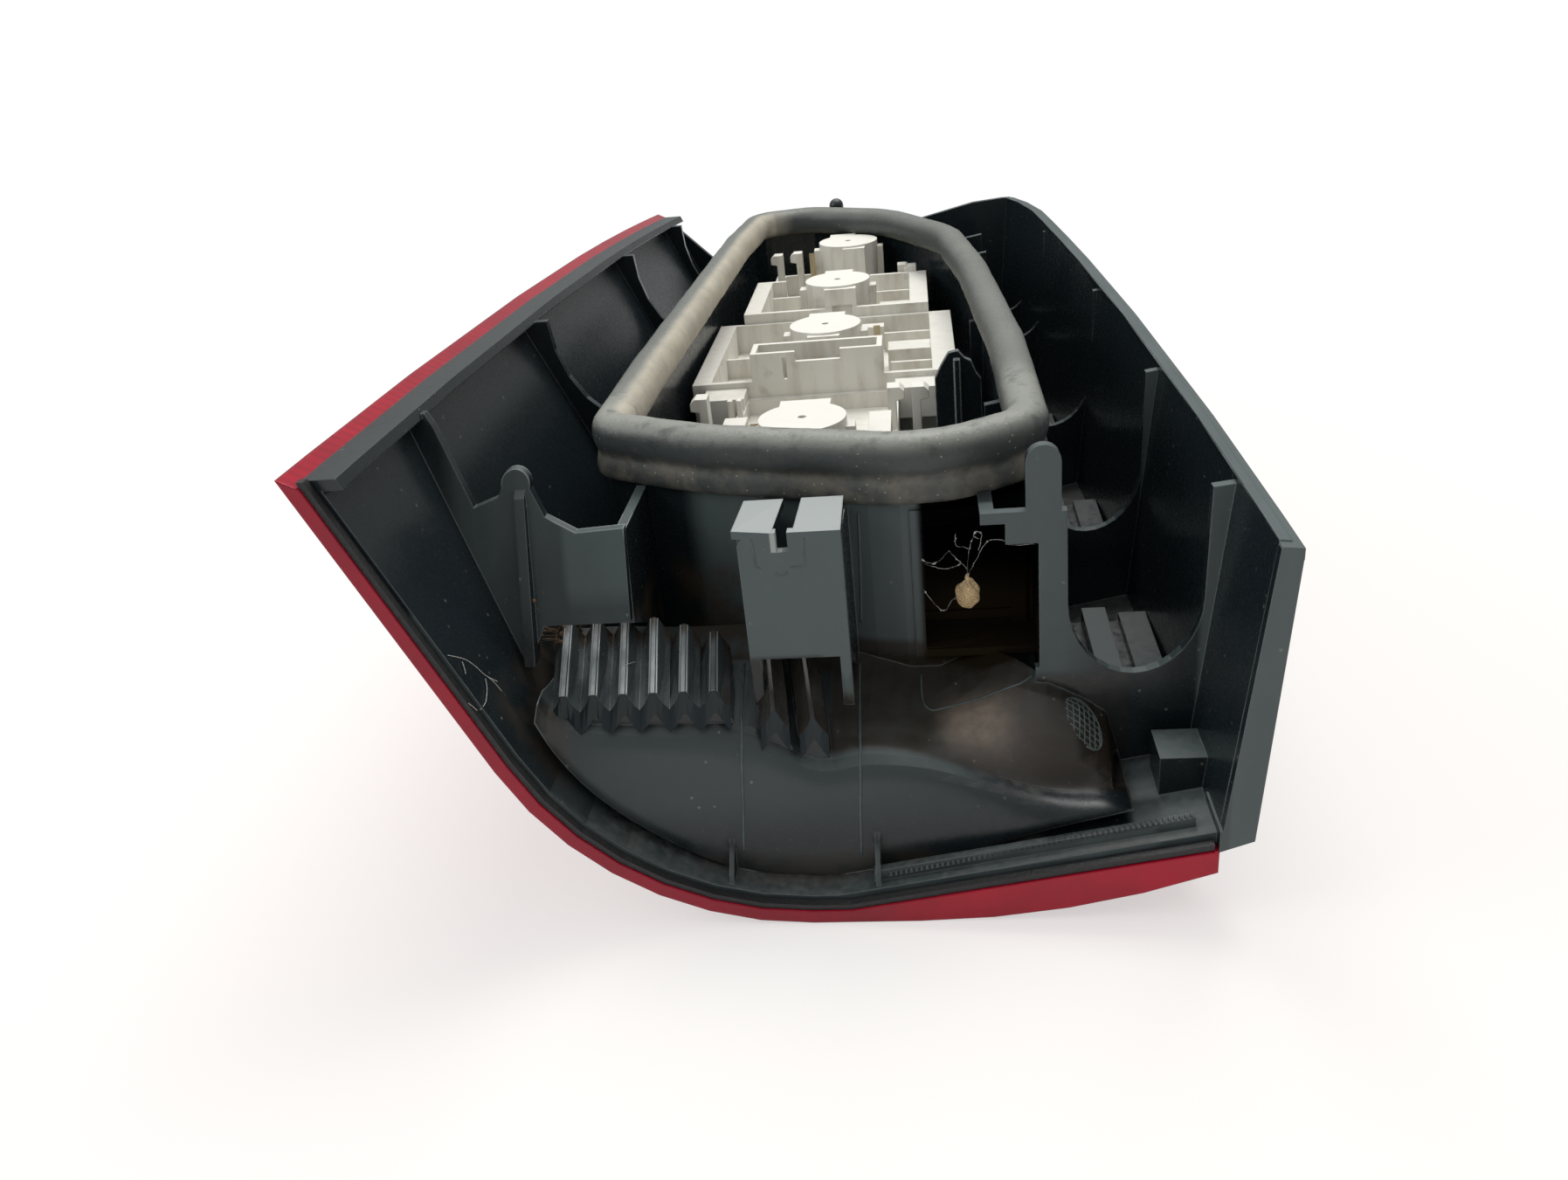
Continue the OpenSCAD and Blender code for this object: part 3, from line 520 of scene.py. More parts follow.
    def add_lamps(self, context, settings):
        for name, spot, aim, width, share, tint in self.LAMPS:
            light = bpy.data.lights.new(name, "AREA")
            light.shape = "RECTANGLE"
            light.size = width
            light.size_y = width * self.LAMP_DEPTH
            light.energy = settings.key * share
            light.color = tint
            holder = bpy.data.objects.new(name, light)
            holder.location = spot
            holder.rotation_euler = (Vector(aim) - Vector(spot)).to_track_quat("-Z", "Y").to_euler()
            context.scene.collection.objects.link(holder)


def housing_bloom(f, broad, fine, flow, looks_up, looks_near):
    """Share of grey bloom, place by place; on the near bulge's front it fades out as painted shade."""
    walls = f.all(f.within((-62, -168, 47), (None, -136, None), 2), f.step(f.at[0], 0.076, 0.062))
    rib = f.within((-90, -172, 60), (-44, -148, None), 3)
    # Bloom on the near bulge's front, fading out towards the right and the bottom as painted shade.
    front = f.all(f.within((-70, None, 23), (66, -183, 60), 8), f.step(f.at[0], 0.095, -0.02))
    tower = f.within((-19, -184, 49), (14, -176, 99), 1.5)
    rims = f.all(looks_up, f.within((None, None, 30), (None, None, None), 4), f.step(f.at[0], -0.12, -0.055))
    right_end = f.all(f.any(looks_near, looks_up), f.within((97.5, None, 12), (None, None, None), 1))
    lens_side = f.all(f.any(looks_near, looks_up), f.within((None, None, None), (None, -195, 90), 1.5))
    near_floor = f.all(looks_up, f.within((77, -202, 8), (104, -168, 34), 2))
    return f.any(f.all(walls, looks_near, f.scaled(flow, 0.6, 1.1)),
                 f.all(rib, looks_near, f.scaled(flow, 0.1, 0.6)),
                 f.all(front, looks_near, f.scaled(broad, 0.26, 0.50)),
                 f.all(tower, f.scaled(flow, 0.9, 1.05)),
                 f.all(rims, f.scaled(flow, 0.45, 1.1)),
                 f.all(right_end, f.scaled(flow, 0.6, 1.1)),
                 f.all(lens_side, f.scaled(flow, 0.25, 0.75)),
                 f.all(near_floor, f.scaled(fine, 0.7, 1.2)))


def housing_soil(f):
    """Share of brown road dust in the hollows."""
    hollow = f.within((-74, -166, 46), (-12, -132, 68), 4)
    wing_foot = f.within((-84, -196, 30), (-60, -150, 62), 5)
    near_foot = f.within((-60, -198, -2), (60, -188, 13), 3)
    soiled = f.any(hollow, f.all(wing_foot, 0.6), f.all(near_foot, 0.55))
    return f.all(soiled, f.step(f.grain(11, 5), 0.34, 0.62))


def scoop_tint(f, tint, settings, saddle, fine):
    """Browns the scoop, and paints a sheen and a warm highlight on its swell."""
    # Painted sheen: a paler tint over the swell, standing in for its gloss.
    sheen = f.all(saddle, f.within((32, -186, 22), (58, -164, 54), 8), f.scaled(fine, 0.5, 1.3))
    tint = f.mix(f.all(saddle, f.scaled(f.grain(5, 5), 0.6, 1.1)), tint, [c * 0.42 for c in settings.soil])
    tint = f.mix(f.all(sheen, 0.75), tint, (0.058, 0.050, 0.043))
    # Painted highlight: a warm pale patch where the light glints on the swell.
    painted_highlight = f.all(saddle, f.within((34, -180, 30), (49, -168, 44), 5), f.scaled(f.grain(3, 5), 0.1, 1.4))
    return f.mix(f.all(painted_highlight, 0.8), tint, (0.27, 0.215, 0.165))


def fluted_tint(f, tint, settings, fluted, looks_near):
    """Rubs the flutes' flanks, darkens their near-facing ends as painted shade and paints a pale highlight on
    their upward-facing ridges.
    """
    flank = f.mix(f.scaled(f.grain(3, 4, (1, 0.2, 0.2)), 0.2, 1.2), [c * 0.5 for c in settings.polished],
                  settings.polished)
    tint = f.mix(f.all(fluted, 0.95), tint, flank)
    # Painted shade: the flutes' near-facing ends darkened.
    tint = f.mix(f.all(fluted, looks_near), tint, [c * 0.4 for c in settings.plastic])
    # Painted highlight: pale on the upward-facing ridges, in the scuff colour.
    ridge = f.all(fluted, f.step(f.normal[2], 0.86, 0.97))
    return f.mix(f.all(ridge, f.step(f.at[0], 0.0, -0.055), 0.9), tint, settings.scuff_and_highlight)


def worn_tint(f, tint, settings, looks_up):
    """Adds specks, scuffed edges, a painted highlight on the tower's upward-facing lips with the small slot
    painted the same pale, and whitened breaks.
    """
    specks = f.all(f.specks(5.5, 0.10), f.grain(22, 2, contrast=0.12))
    motes = f.all(f.specks(2.6, 0.09), f.grain(30, 3, contrast=0.15))
    tint = f.mix(f.all(specks, 0.6), tint, settings.dust)
    tint = f.mix(f.all(motes, 0.4), tint, settings.dust)
    edge = f.all(f.edges(settings.edge), f.scaled(f.grain(6, 3), 0.15, 1.0))
    tint = f.mix(f.all(edge, 0.8), tint, settings.scuff_and_highlight)
    # Painted highlight: the tower's upward-facing lips painted pale.
    lit_lips = f.all(f.within((-18, -181, 92), (12, -150, None), 1), looks_up)
    slot = f.within((-5.9, -182, 90.8), (-3.3, -177, 97.5), 0.25)
    tint = f.mix(f.all(f.any(lit_lips, slot), 0.85), tint, [c * 0.75 for c in settings.stress_white_and_highlight])
    torn = f.any(f.within((-79, -170, 104), (-62, -150, 112), 2),
                 f.within((-64, -170, 90), (-42, -150, 96), 2),
                 f.within((34, -67, 79), (50, -58, None), 1.5))
    return f.mix(f.all(torn, f.edges(settings.edge * 1.6), 0.9), tint, settings.stress_white_and_highlight)


def housing_finish(settings, name="housing_plastic", soil_share=1.0):
    """Black moulding with bloom, road dust, specks, mould flow and scuffed edges, with painted shade in the
    window pocket, on the flutes' ends and on the near bulge's front, and painted highlights on the scoop, the
    flutes' ridges and the tower's lips.
    """
    specular = 0.42
    f = Finish(name, settings.plastic, settings.gloss, Specular_IOR_Level=specular)
    broad = f.grain(38, 4)
    fine = f.grain(2.2, 4)
    flow = f.grain(9, 3, (1, 0.35, 0.25))
    looks_up = f.step(f.normal[2], 0.45, 0.95)
    looks_near = f.step(f.math("MULTIPLY", f.normal[1], -1), 0.25, 0.85)
    # The window pocket, whose inside is painted as shade below.
    inside = f.within((29, -158.5, 44), (60, -134, 92), 1.2)
    fluted = f.any(f.within((-68, -187, 44), (-17, -157, 66), 1.0),
                   f.within((-17, -187, 38), (4, -157, 62), 1.0))
    saddle = f.any(f.within((-16, -185.5, 20), (56, -138, 51), 1.4),
                   f.within((54, -185.5, 20), (80, -166.5, 46), 1.2))
    foot = f.within((56, -198, 14), (86, -184, 30), 2)

    bloom = f.all(housing_bloom(f, broad, fine, flow, looks_up, looks_near),
                  f.less(1.0, f.any(inside, fluted)), f.less(1.0, f.all(foot, 0.8)))
    blotch = f.math("ADD", f.all(broad, 0.6), f.all(fine, 0.4))
    low = f.within((None, None, None), (None, None, 34), 5)
    dusty = f.all(looks_up, low, f.step(blotch, 0.36, 0.74), f.less(1.0, foot))
    soil = f.all(housing_soil(f), soil_share)

    tint = f.mix(f.scaled(flow, 0.0, 0.6), settings.plastic, [c * 1.8 for c in settings.plastic])
    tint = f.mix(f.all(bloom, 0.95), tint, settings.bloom)
    tint = f.mix(f.all(dusty, 0.5), tint, settings.dust)
    tint = f.mix(f.all(soil, 0.85), tint, settings.soil)
    tint = scoop_tint(f, tint, settings, saddle, fine)
    tint = fluted_tint(f, tint, settings, fluted, looks_near)
    tint = worn_tint(f, tint, settings, looks_up)
    # Painted shade in the window pocket: near black high up, dark brown lower down, and no specular
    # reflection.
    depth = f.mix(f.step(f.at[2], 0.050, 0.070), (0.020, 0.015, 0.009), (0.0012, 0.0014, 0.0014))
    f.set("Base Color", f.mix(inside, tint, depth))
    f.set("Specular IOR Level", f.all(f.less(1.0, inside), specular))

    rough = f.math("ADD", f.scaled(fine, settings.gloss * 0.7, settings.gloss * 1.5), f.all(bloom, 0.3))
    rough = f.math("ADD", rough, f.all(f.any(dusty, soil), 0.36), clamp=True)
    rough = f.math("SUBTRACT", rough, f.all(f.any(fluted, saddle), 0.06), clamp=True)
    f.set("Roughness", rough)
    skin = f.math("ADD", f.all(f.grain(0.9, 2), 0.25), f.all(flow, 0.9))
    swollen = f.all(f.within((-64, None, 16), (82, -170, 56), 2), f.less(1.0, fluted))
    radius = f.math("ADD", f.all(swollen, settings.swell), settings.edge)
    f.set("Normal", f.bump(skin, 0.00006, f.rounded(radius)))
    return f


class LAMP_OT_housing(bpy.types.Operator):
    """Gives the housing and its pin their black moulded finish, and the pin's nut its steel"""
    bl_idname = "lamp.housing"
    bl_label = "Housing finish"

    def execute(self, context):
        settings = context.scene.lamp_housing
        housing_finish(settings).give(NODES["housing"])
        housing_finish(settings, "pin_plastic", 0.3).give(NODES["locating_pin"])
        nut = Finish("nut_steel", (0.42, 0.43, 0.44), 0.35, Metallic=1.0)
        nut.set("Base Color", nut.mix(nut.grain(3), (0.30, 0.29, 0.28), (0.55, 0.56, 0.57)))
        nut.set("Roughness", nut.scaled(nut.grain(1.2), 0.25, 0.5))
        nut.give(NODES["locating_pin_nut"])
        return {"FINISHED"}


class LAMP_OT_marks(bpy.types.Operator):
    """Adds the parting lines, a thin tube for the shadow line round the scoop, the latch recess, the grip
    patch and the rail's teeth
    """
    bl_idname = "lamp.marks"
    bl_label = "Moulded marks"

    # Places in millimetres, as they run over the near end
    PARTING = (
        [(-19.3, -158.6, 49), (-18.2, -173.8, 47.4), (-17.2, -185.3, 46.7), (-17.8, -191.4, 32.5),
         (-18.6, -192.6, 22), (-19.3, -193.4, 14)],
        [(13.8, -151.1, 88), (13.2, -150.8, 70), (12.4, -150.6, 56)],
        [(11.3, -154.4, 45.2), (11.4, -166.5, 41.6), (11.8, -180, 38.8), (12.0, -186, 38.2),
         (11.8, -189.6, 32), (11.2, -191.8, 23.8), (10.8, -193.6, 12)],
    )
    # The scoop's outline: a thin tube that stands for the shadow line along its edge, painted shade.
    SCOOP_SHADOW_LINE = [(27.7, -156.4, 42.6), (27.6, -161.2, 40.9), (28.1, -166.6, 39.6), (29.7, -168.8, 38.8),
             (31.8, -168.9, 38.8), (36.6, -167.9, 39.4), (42.6, -167.4, 40.9), (48.4, -167.1, 43),
             (53.3, -166.4, 44.2), (56.4, -164.4, 45.2)]
    RECESS = ([(-10.3, -179.4, 94.5), (-10.1, -179.4, 90), (-9.9, -179.4, 87.2), (-8.8, -179.4, 86.8)],
              [(2.2, -179.4, 94.2), (1.9, -179.4, 90), (1.7, -179.4, 87.1), (-1.5, -179.4, 86.8)],
              [(-5.2, -179.4, 85.4), (-4.6, -179.4, 84.7), (-2.9, -179.4, 84.9), (-2.7, -179.4, 85.6)])
    PATCH_MIDDLE = Vector((68.3, -173.6, 36.4))
    PATCH_REACH = (7.6, 4.6)
    PATCH_DOWN = Vector((0.42, -0.62, -0.66))
    PATCH_SLOPE = 0.62
    PATCH_STEP = 0.35
    RAIL = ((17.5, -198.9, 9.9), (91.3, -198.2, 25.0))
    # A tooth of the rail: corners as distances along, out and up, and its faces
    TOOTH = ((-0.42, 0.5, -0.3), (0.42, 0.5, -0.3), (0.30, 0.5, 0.75), (-0.30, 0.5, 0.75),
             (-0.42, -0.75, -0.3), (0.42, -0.75, -0.3), (0.22, -0.45, 0.3), (-0.22, -0.45, 0.3))
    TOOTH_FACES = ((0, 3, 2, 1), (4, 5, 6, 7), (0, 1, 5, 4), (3, 7, 6, 2), (0, 4, 7, 3), (1, 2, 6, 5))
    # Each flute: x at its front and back, half its width, how much lower it starts, how much lower it ends
    FLUTES = ([(-60.8 + 7.6 * k, -65 + 7.75 * k, 3.85, 0, 2.4 * max(0, k - 3)) for k in range(6)]
              + [(-8.5, -12.5, 3.6, 6.5, 3), (1, -3.5, 3.6, 9, 4)])
    # Across a flute: share of half its width, share of its height; along it: shares of its length
    ACROSS = ((-1, 0), (-0.62, 0.34), (-0.26, 0.80), (-0.15, 1),
              (0.15, 1), (0.26, 0.80), (0.62, 0.34), (1, 0))
    ALONG = (-1, 0, 0.14, 0.3, 0.5, 0.7, 0.86, 0.95, 1.0)
    # Ridges and valleys: y and z at the front, how far they run back and up, and y and z of their low tips
    RIDGE = (-187.4, 58.2, 28.4, 6.4, -188.0, 52.0)
    VALLEY = (-187.6, 53.4, 28.6, 6.2, -190.0, 48.2)
    # The flanks arch up by this share over the last stretch of a flute
    ARCH, ARCH_START, ARCH_RUN = 0.10, 0.7, 0.3

    def execute(self, context):
        settings = context.scene.lamp_marks
        plastic = context.scene.lamp_housing
        skin = Skin(NODES["housing"])
        lines = Threads()
        radius = settings.line / MM
        for path in self.PARTING:
            lines.add(skin.laid(curved(path, 10), 0.02), radius)
        # The scoop's outline, a tube laid as painted shade along its edge.
        lines.add(skin.laid(curved(self.SCOOP_SHADOW_LINE, 8)), radius * 0.9)
        for path in self.RECESS:
            lines.add(skin.laid(curved(path, 5)), radius * 0.6)
        marks = lines.piece("parting_lines")
        self.flute_finish(plastic).give(self.flutes())
        grip = self.grip_patch(skin, settings)
        teeth = self.rail_teeth(settings)
        housing_finish(plastic, "tooth_plastic", 0.3).give(teeth)
        flash = Finish("flash_plastic", plastic.bloom, 0.5)
        flash.set("Base Color", flash.mix(flash.grain(4, 4), [c * 0.35 for c in plastic.bloom],
                                          [c * 1.5 for c in plastic.bloom]))
        flash.give(marks, grip)
        return {"FINISHED"}

    def flute_finish(self, settings):
        """Smooth grey flanks, ridges painted pale as a highlight, near-facing ends darkened as painted shade,
        and brown dust at the back.
        """
        f = Finish("flute_plastic", settings.polished, 0.24)
        streak = f.grain(2.2, 4, (1, 0.12, 0.12))
        tint = f.mix(f.step(streak, 0.3, 0.7), [c * 0.55 for c in settings.polished],
                     [c * 1.25 for c in settings.polished])
        # Painted highlight on the upward-facing ridges.
        ridge = f.all(f.step(f.normal[2], 0.90, 0.965), f.scaled(f.grain(5, 4), 0.3, 1.3),
                      f.step(f.at[0], -0.012, -0.05))
        tint = f.mix(f.all(ridge, 0.9), tint, settings.scuff_and_highlight)
        back = f.all(f.step(f.at[1], -0.166, -0.161), f.scaled(f.grain(4, 4), 0.5, 1.2))
        tint = f.mix(back, tint, [c * 0.8 for c in settings.soil])
        right = f.all(f.step(f.at[0], -0.034, -0.014), f.scaled(f.grain(4, 4), 0.4, 0.9))
        tint = f.mix(right, tint, [c * 0.6 for c in settings.soil])
        # Painted shade: the near-facing ends are darker and get less specular.
        ends = f.step(f.math("MULTIPLY", f.normal[1], -1), 0.45, 0.7)
        tint = f.mix(ends, tint, [c * 1.5 for c in settings.plastic])
        f.set("Base Color", tint)
        f.set("Specular IOR Level", f.scaled(ends, 0.5, 0.25))
        f.set("Roughness", f.scaled(streak, 0.16, 0.36))
        f.set("Normal", f.bump(streak, 0.00008, f.rounded(0.0004)))
        return f

    def on_line(self, line, t, drop, fall):
        """y and z on a flute's ridge or valley; a station below 0 is its low tip."""
        y, z, back, up, tip_y, tip_z = line
        if t < 0:
            return tip_y, tip_z - drop
        return y + back * t, z - drop + (up + drop - fall) * t

    def flutes(self):
        """Scalloped shells over the flutes: ridges with sloped flanks that end in low valley tips."""
        points, faces = [], []
        n = len(self.ACROSS)
        for front_x, back_x, half, drop, fall in self.FLUTES:
            first = len(points)
            for t in self.ALONG:
                x = front_x + (back_x - front_x) * max(0, t)
                arch = self.ARCH * max(0, (t - self.ARCH_START) / self.ARCH_RUN)
                ridge_y, ridge_z = self.on_line(self.RIDGE, t, drop, fall)
                valley_y, valley_z = self.on_line(self.VALLEY, t, drop, fall)
                for across, rise in self.ACROSS:
                    lift = rise + arch * (1 - abs(across)) * 4 * (1 - rise)
                    points.append((x + across * half, valley_y + (ridge_y - valley_y) * lift,
                                   valley_z + (ridge_z - valley_z) * lift))
            for i in range(len(self.ALONG) - 1):
                for j in range(n - 1):
                    a = first + i * n + j
                    faces.append((a, a + 1, a + n + 1, a + n))
            last = first + (len(self.ALONG) - 1) * n
            faces.append([last + j for j in range(n)])
        return piece_from("flute_scallops", points, faces, smooth=False)

    def grip_patch(self, skin, settings):
        """Crossing low threads inside an oval, which leave diamonds between them."""
        threads = Threads()
        normal = skin.tree.find_nearest(self.PATCH_MIDDLE * MM)[1]
        long_way = (self.PATCH_DOWN - normal * self.PATCH_DOWN.dot(normal)).normalized()
        short_way = normal.cross(long_way)
        reach_a, reach_b = self.PATCH_REACH
        pitch = settings.grip / MM

        def spot(u, v):
            return self.PATCH_MIDDLE + long_way * u + short_way * v

        for slope in (-1, 1):
            for k in range(-8, 9):
                run = []
                for i in range(-30, 31):
                    u = i * self.PATCH_STEP
                    v = slope * u * self.PATCH_SLOPE + k * pitch
                    if (u / reach_a) ** 2 + (v / reach_b) ** 2 < 1:
                        run.append(spot(u, v))
                if len(run) > 3:
                    threads.add(skin.laid(run, 0.05), 0.2)
        ring = [spot(reach_a * math.cos(math.radians(a)), reach_b * math.sin(math.radians(a)))
                for a in range(-40, 200, 8)]
        threads.add(skin.laid(ring, 0.05), 0.24)
        return threads.piece("grip_patch")

    def rail_teeth(self, settings):
        """Small wedges along the low edge of the rail."""
        start, end = [Vector(p) for p in self.RAIL]
        ahead = (end - start).normalized()
        count = int((end - start).length / (settings.tooth / MM))
        points, faces = [], []
        for k in range(count):
            spot = start.lerp(end, (k + 0.5) / count)
            first = len(points)
            for along, out, high in self.TOOTH:
                points.append(spot + ahead * along + Vector((0, out, high)))
            faces += [[first + i for i in face] for face in self.TOOTH_FACES]
        return piece_from("rail_teeth", points, faces, smooth=False)


class LAMP_OT_debris(bpy.types.Operator):
    """Adds the cobweb with its cocoon, the loose hairs and the brown fibres"""
    bl_idname = "lamp.debris"
    bl_label = "Cobweb and debris"

    COCOON = Vector((40.6, -161.4, 68.5))
    SILK = (
        [(29.4, -160, 77.9), (31.6, -161, 77.2), (33.8, -162, 78.3), (36.2, -162, 81)],
        [(38.1, -161, 85.0), (38.0, -162, 83.4), (38.3, -162, 82.2), (41.3, -162, 81.3)],
        [(36.2, -162, 81), (37.1, -162, 79.8), (39.2, -162, 77.4), (40.6, -162, 75.5), (40.8, -161.6, 72.4)],
        [(40.8, -161.4, 72.4), (41.1, -162, 74.6), (43.1, -163, 78.8), (44.9, -163, 82.3), (46.8, -162, 83.3),
         (50, -161, 82.5), (52.3, -161, 81.1), (57.6, -160, 80.6)],
        [(29.6, -159, 68.8), (32.5, -161, 65.1), (34.8, -162, 64.2), (36.4, -162, 66.8),
         (38.0, -161.4, 67.8)],
        [(40.7, -161.4, 72.4), (40.9, -160, 76), (41.6, -158, 79.6), (43.4, -157, 84)],
        [(43.6, -162, 80.6), (44.6, -161, 84.4), (43.2, -161, 85.2), (42.6, -161, 84.2), (43.8, -161, 83.4)],
        [(39.2, -162, 77.4), (37.4, -160, 75.4), (34.2, -158, 74.2), (30, -156, 74.8)],
    )
    HAIRS = (
        [(-81.4, -201, 78.7), (-79.5, -196.6, 75), (-78.1, -194.6, 71.8), (-76.7, -193.2, 68.4),
         (-75, -190.9, 65.2)],
        [(-76.4, -193, 68), (-75.4, -192, 65.6), (-74.3, -191.4, 62.7)],
        [(-76.6, -194, 68), (-76, -195.8, 66.4), (-75.4, -199.8, 64.9), (-76.1, -202.4, 64.3)],
        [(-83.9, -204, 71.4), (-81.6, -204.2, 70.2), (-79.9, -204, 69), (-78.1, -204, 67.5),
         (-76.3, -203.6, 64.9)],
        [(-79.7, -197.8, 75), (-79.1, -198.8, 73.6), (-78.8, -199.6, 72.6)],
        [(-50.9, -177, 54.4), (-48.4, -177.6, 58.4), (-46.6, -177.4, 60.6), (-44.8, -173.5, 59.4)],
    )
    # Where the brown fibres hang, from top to bottom, and how many crumbs lie among them
    HOLLOW = (Vector((-70.2, -166.5, 76)), Vector((-70.0, -161.5, 60.5)))
    CRUMBS = 26
    SEED = 11
    TREMBLE = 0.12              # how far a point of the silk strays, mm
    BEADED = 0.3                # share of the silk's points that carry a crumb

    def execute(self, context):
        settings = context.scene.lamp_debris
        rng = random.Random(self.SEED)
        self.cobweb(settings, rng)
        self.hairs(settings)
        self.fibres(settings, rng)
        return {"FINISHED"}

    def cobweb(self, settings, rng):
        radius = settings.silk / MM
        silk = Threads()
        for path in self.SILK:
            line = curved(path, 6)
            for spot in line[1:-1]:
                spot += Vector((rng.uniform(-1, 1), rng.uniform(-1, 1), rng.uniform(-1, 1))) * self.TREMBLE
            silk.add(line, radius)
            for spot in line[1:-1]:
                if rng.random() < self.BEADED:
                    silk.lump(spot, rng.uniform(0.12, 0.3), rng)
        web = silk.piece("cobweb")
        grey = Finish("cobweb_silk", (0.3, 0.31, 0.31), 0.8)
        grey.set("Base Color", grey.mix(grey.grain(3, contrast=0.1), (0.06, 0.07, 0.07), (0.50, 0.51, 0.50)))
        grey.give(web)
        high = settings.cocoon / MM
        body = Threads()
        body.lump(self.COCOON, high / 2, rng, (0.78, 0.72, 1), 14, 18)
        body.lump(self.COCOON + Vector((0, 0, high * 0.5)), high * 0.13, rng, (0.7, 0.7, 1.6), 6, 8)
        cocoon = body.piece("cocoon")
        applied(cocoon, "SUBSURF", levels=1)
        straw = Finish("cocoon_straw", (0.50, 0.37, 0.20), 0.8)
        wool = straw.grain(0.5, 4)
        straw.set("Base Color", straw.mix(straw.step(wool, 0.3, 0.7), (0.34, 0.22, 0.10), (0.66, 0.52, 0.30)))
        straw.set("Normal", straw.bump(wool, 0.0003))
        straw.give(cocoon)

    def hairs(self, settings):
        threads = Threads()
        for path in self.HAIRS:
            threads.add(curved(path, 8), settings.hair / MM, 4)
        hairs = threads.piece("hairs")
        pale = Finish("hair_pale", (0.55, 0.53, 0.50), 0.5)
        pale.set("Roughness", pale.scaled(pale.grain(2), 0.4, 0.6))
        pale.give(hairs)

    def fibres(self, settings, rng):
        skin = Skin(NODES["housing"])
        threads = Threads()
        top, bottom = self.HOLLOW
        for _ in range(settings.fibres):
            spot = top.lerp(bottom, rng.random())
            way = Vector((rng.uniform(-0.5, 1), rng.uniform(-0.6, 0.6), rng.uniform(-1, 1)))
            line = [spot]
            for _ in range(5):
                way += Vector((rng.uniform(-1, 1), rng.uniform(-1, 1), rng.uniform(-1, 1))) * 0.9
                line.append(line[-1] + way.normalized() * rng.uniform(0.5, 1.3))
            lifted = [(a * 2 + b) / 3 for a, b in zip(skin.laid(line, 0.35), line)]
            threads.add(curved(lifted, 3), rng.uniform(0.07, 0.2), 4, 0.4)
        for _ in range(self.CRUMBS):
            spot = top.lerp(bottom, rng.random()) + Vector((rng.uniform(-1, 3), rng.uniform(-3, 2), 0))
            near = skin.laid([spot])[0]
            threads.lump(near, rng.uniform(0.25, 0.75), rng, (1, 1, 0.7))
        clump = threads.piece("fibre_clump")
        brown = Finish("fibre_brown", (0.16, 0.10, 0.055), 0.85)
        brown.set("Base Color", brown.mix(brown.grain(1.5), (0.07, 0.04, 0.02), (0.30, 0.20, 0.12)))
        brown.give(clump)


class LAMP_OT_lens(bpy.types.Operator):
    """Gives the lens, its glue line and the reflex insert their finishes"""
    bl_idname = "lamp.lens"
    bl_label = "Lens finish"

    def execute(self, context):
        settings = context.scene.lamp_lens
        clear = Finish("lens_acrylic", settings.red, 0.08, Transmission_Weight=0.2, IOR=1.49,
                       Specular_IOR_Level=0.3)
        deep = [c * 0.45 for c in settings.red]
        body = clear.mix(clear.grain(14, 3), settings.red, deep)
        wave = clear.math("SINE", clear.math("MULTIPLY", clear.at[1], math.tau / settings.pitch))
        body = clear.mix(clear.all(clear.step(wave, -0.3, 0.7), 0.35), body, deep)
        sides = clear.all(clear.step(clear.normal[2], 0.55, 0.1),
                          clear.within((None, None, None), (20, -196, None), 4))
        body = clear.mix(clear.all(sides, clear.scaled(clear.grain(5, 4), 0.3, 0.7)), body, settings.haze)
        clear.set("Base Color", body)
        clear.set("Roughness", clear.scaled(clear.grain(3, 4), 0.05, 0.16))
        clear.set("Normal", clear.bump(clear.grain(1.6, 2), 0.00006, clear.rounded(0.0006)))
        clear.give(NODES["lens"])
        glue = Finish("glue_black", (0.012, 0.012, 0.013), 0.5)
        glue.set("Roughness", glue.scaled(glue.grain(2), 0.35, 0.7))
        glue.set("Normal", glue.bump(glue.grain(0.8), 0.0002))
        glue.give(NODES["lens_bead"])
        insert = Finish("reflex_acrylic", (0.62, 0.03, 0.08), 0.18, Transmission_Weight=0.2, IOR=1.49)
        insert.set("Base Color", insert.mix(insert.grain(2.5, 2), (0.75, 0.06, 0.12), (0.35, 0.01, 0.03)))
        insert.give(NODES["reflex_panel"])
        return {"FINISHED"}


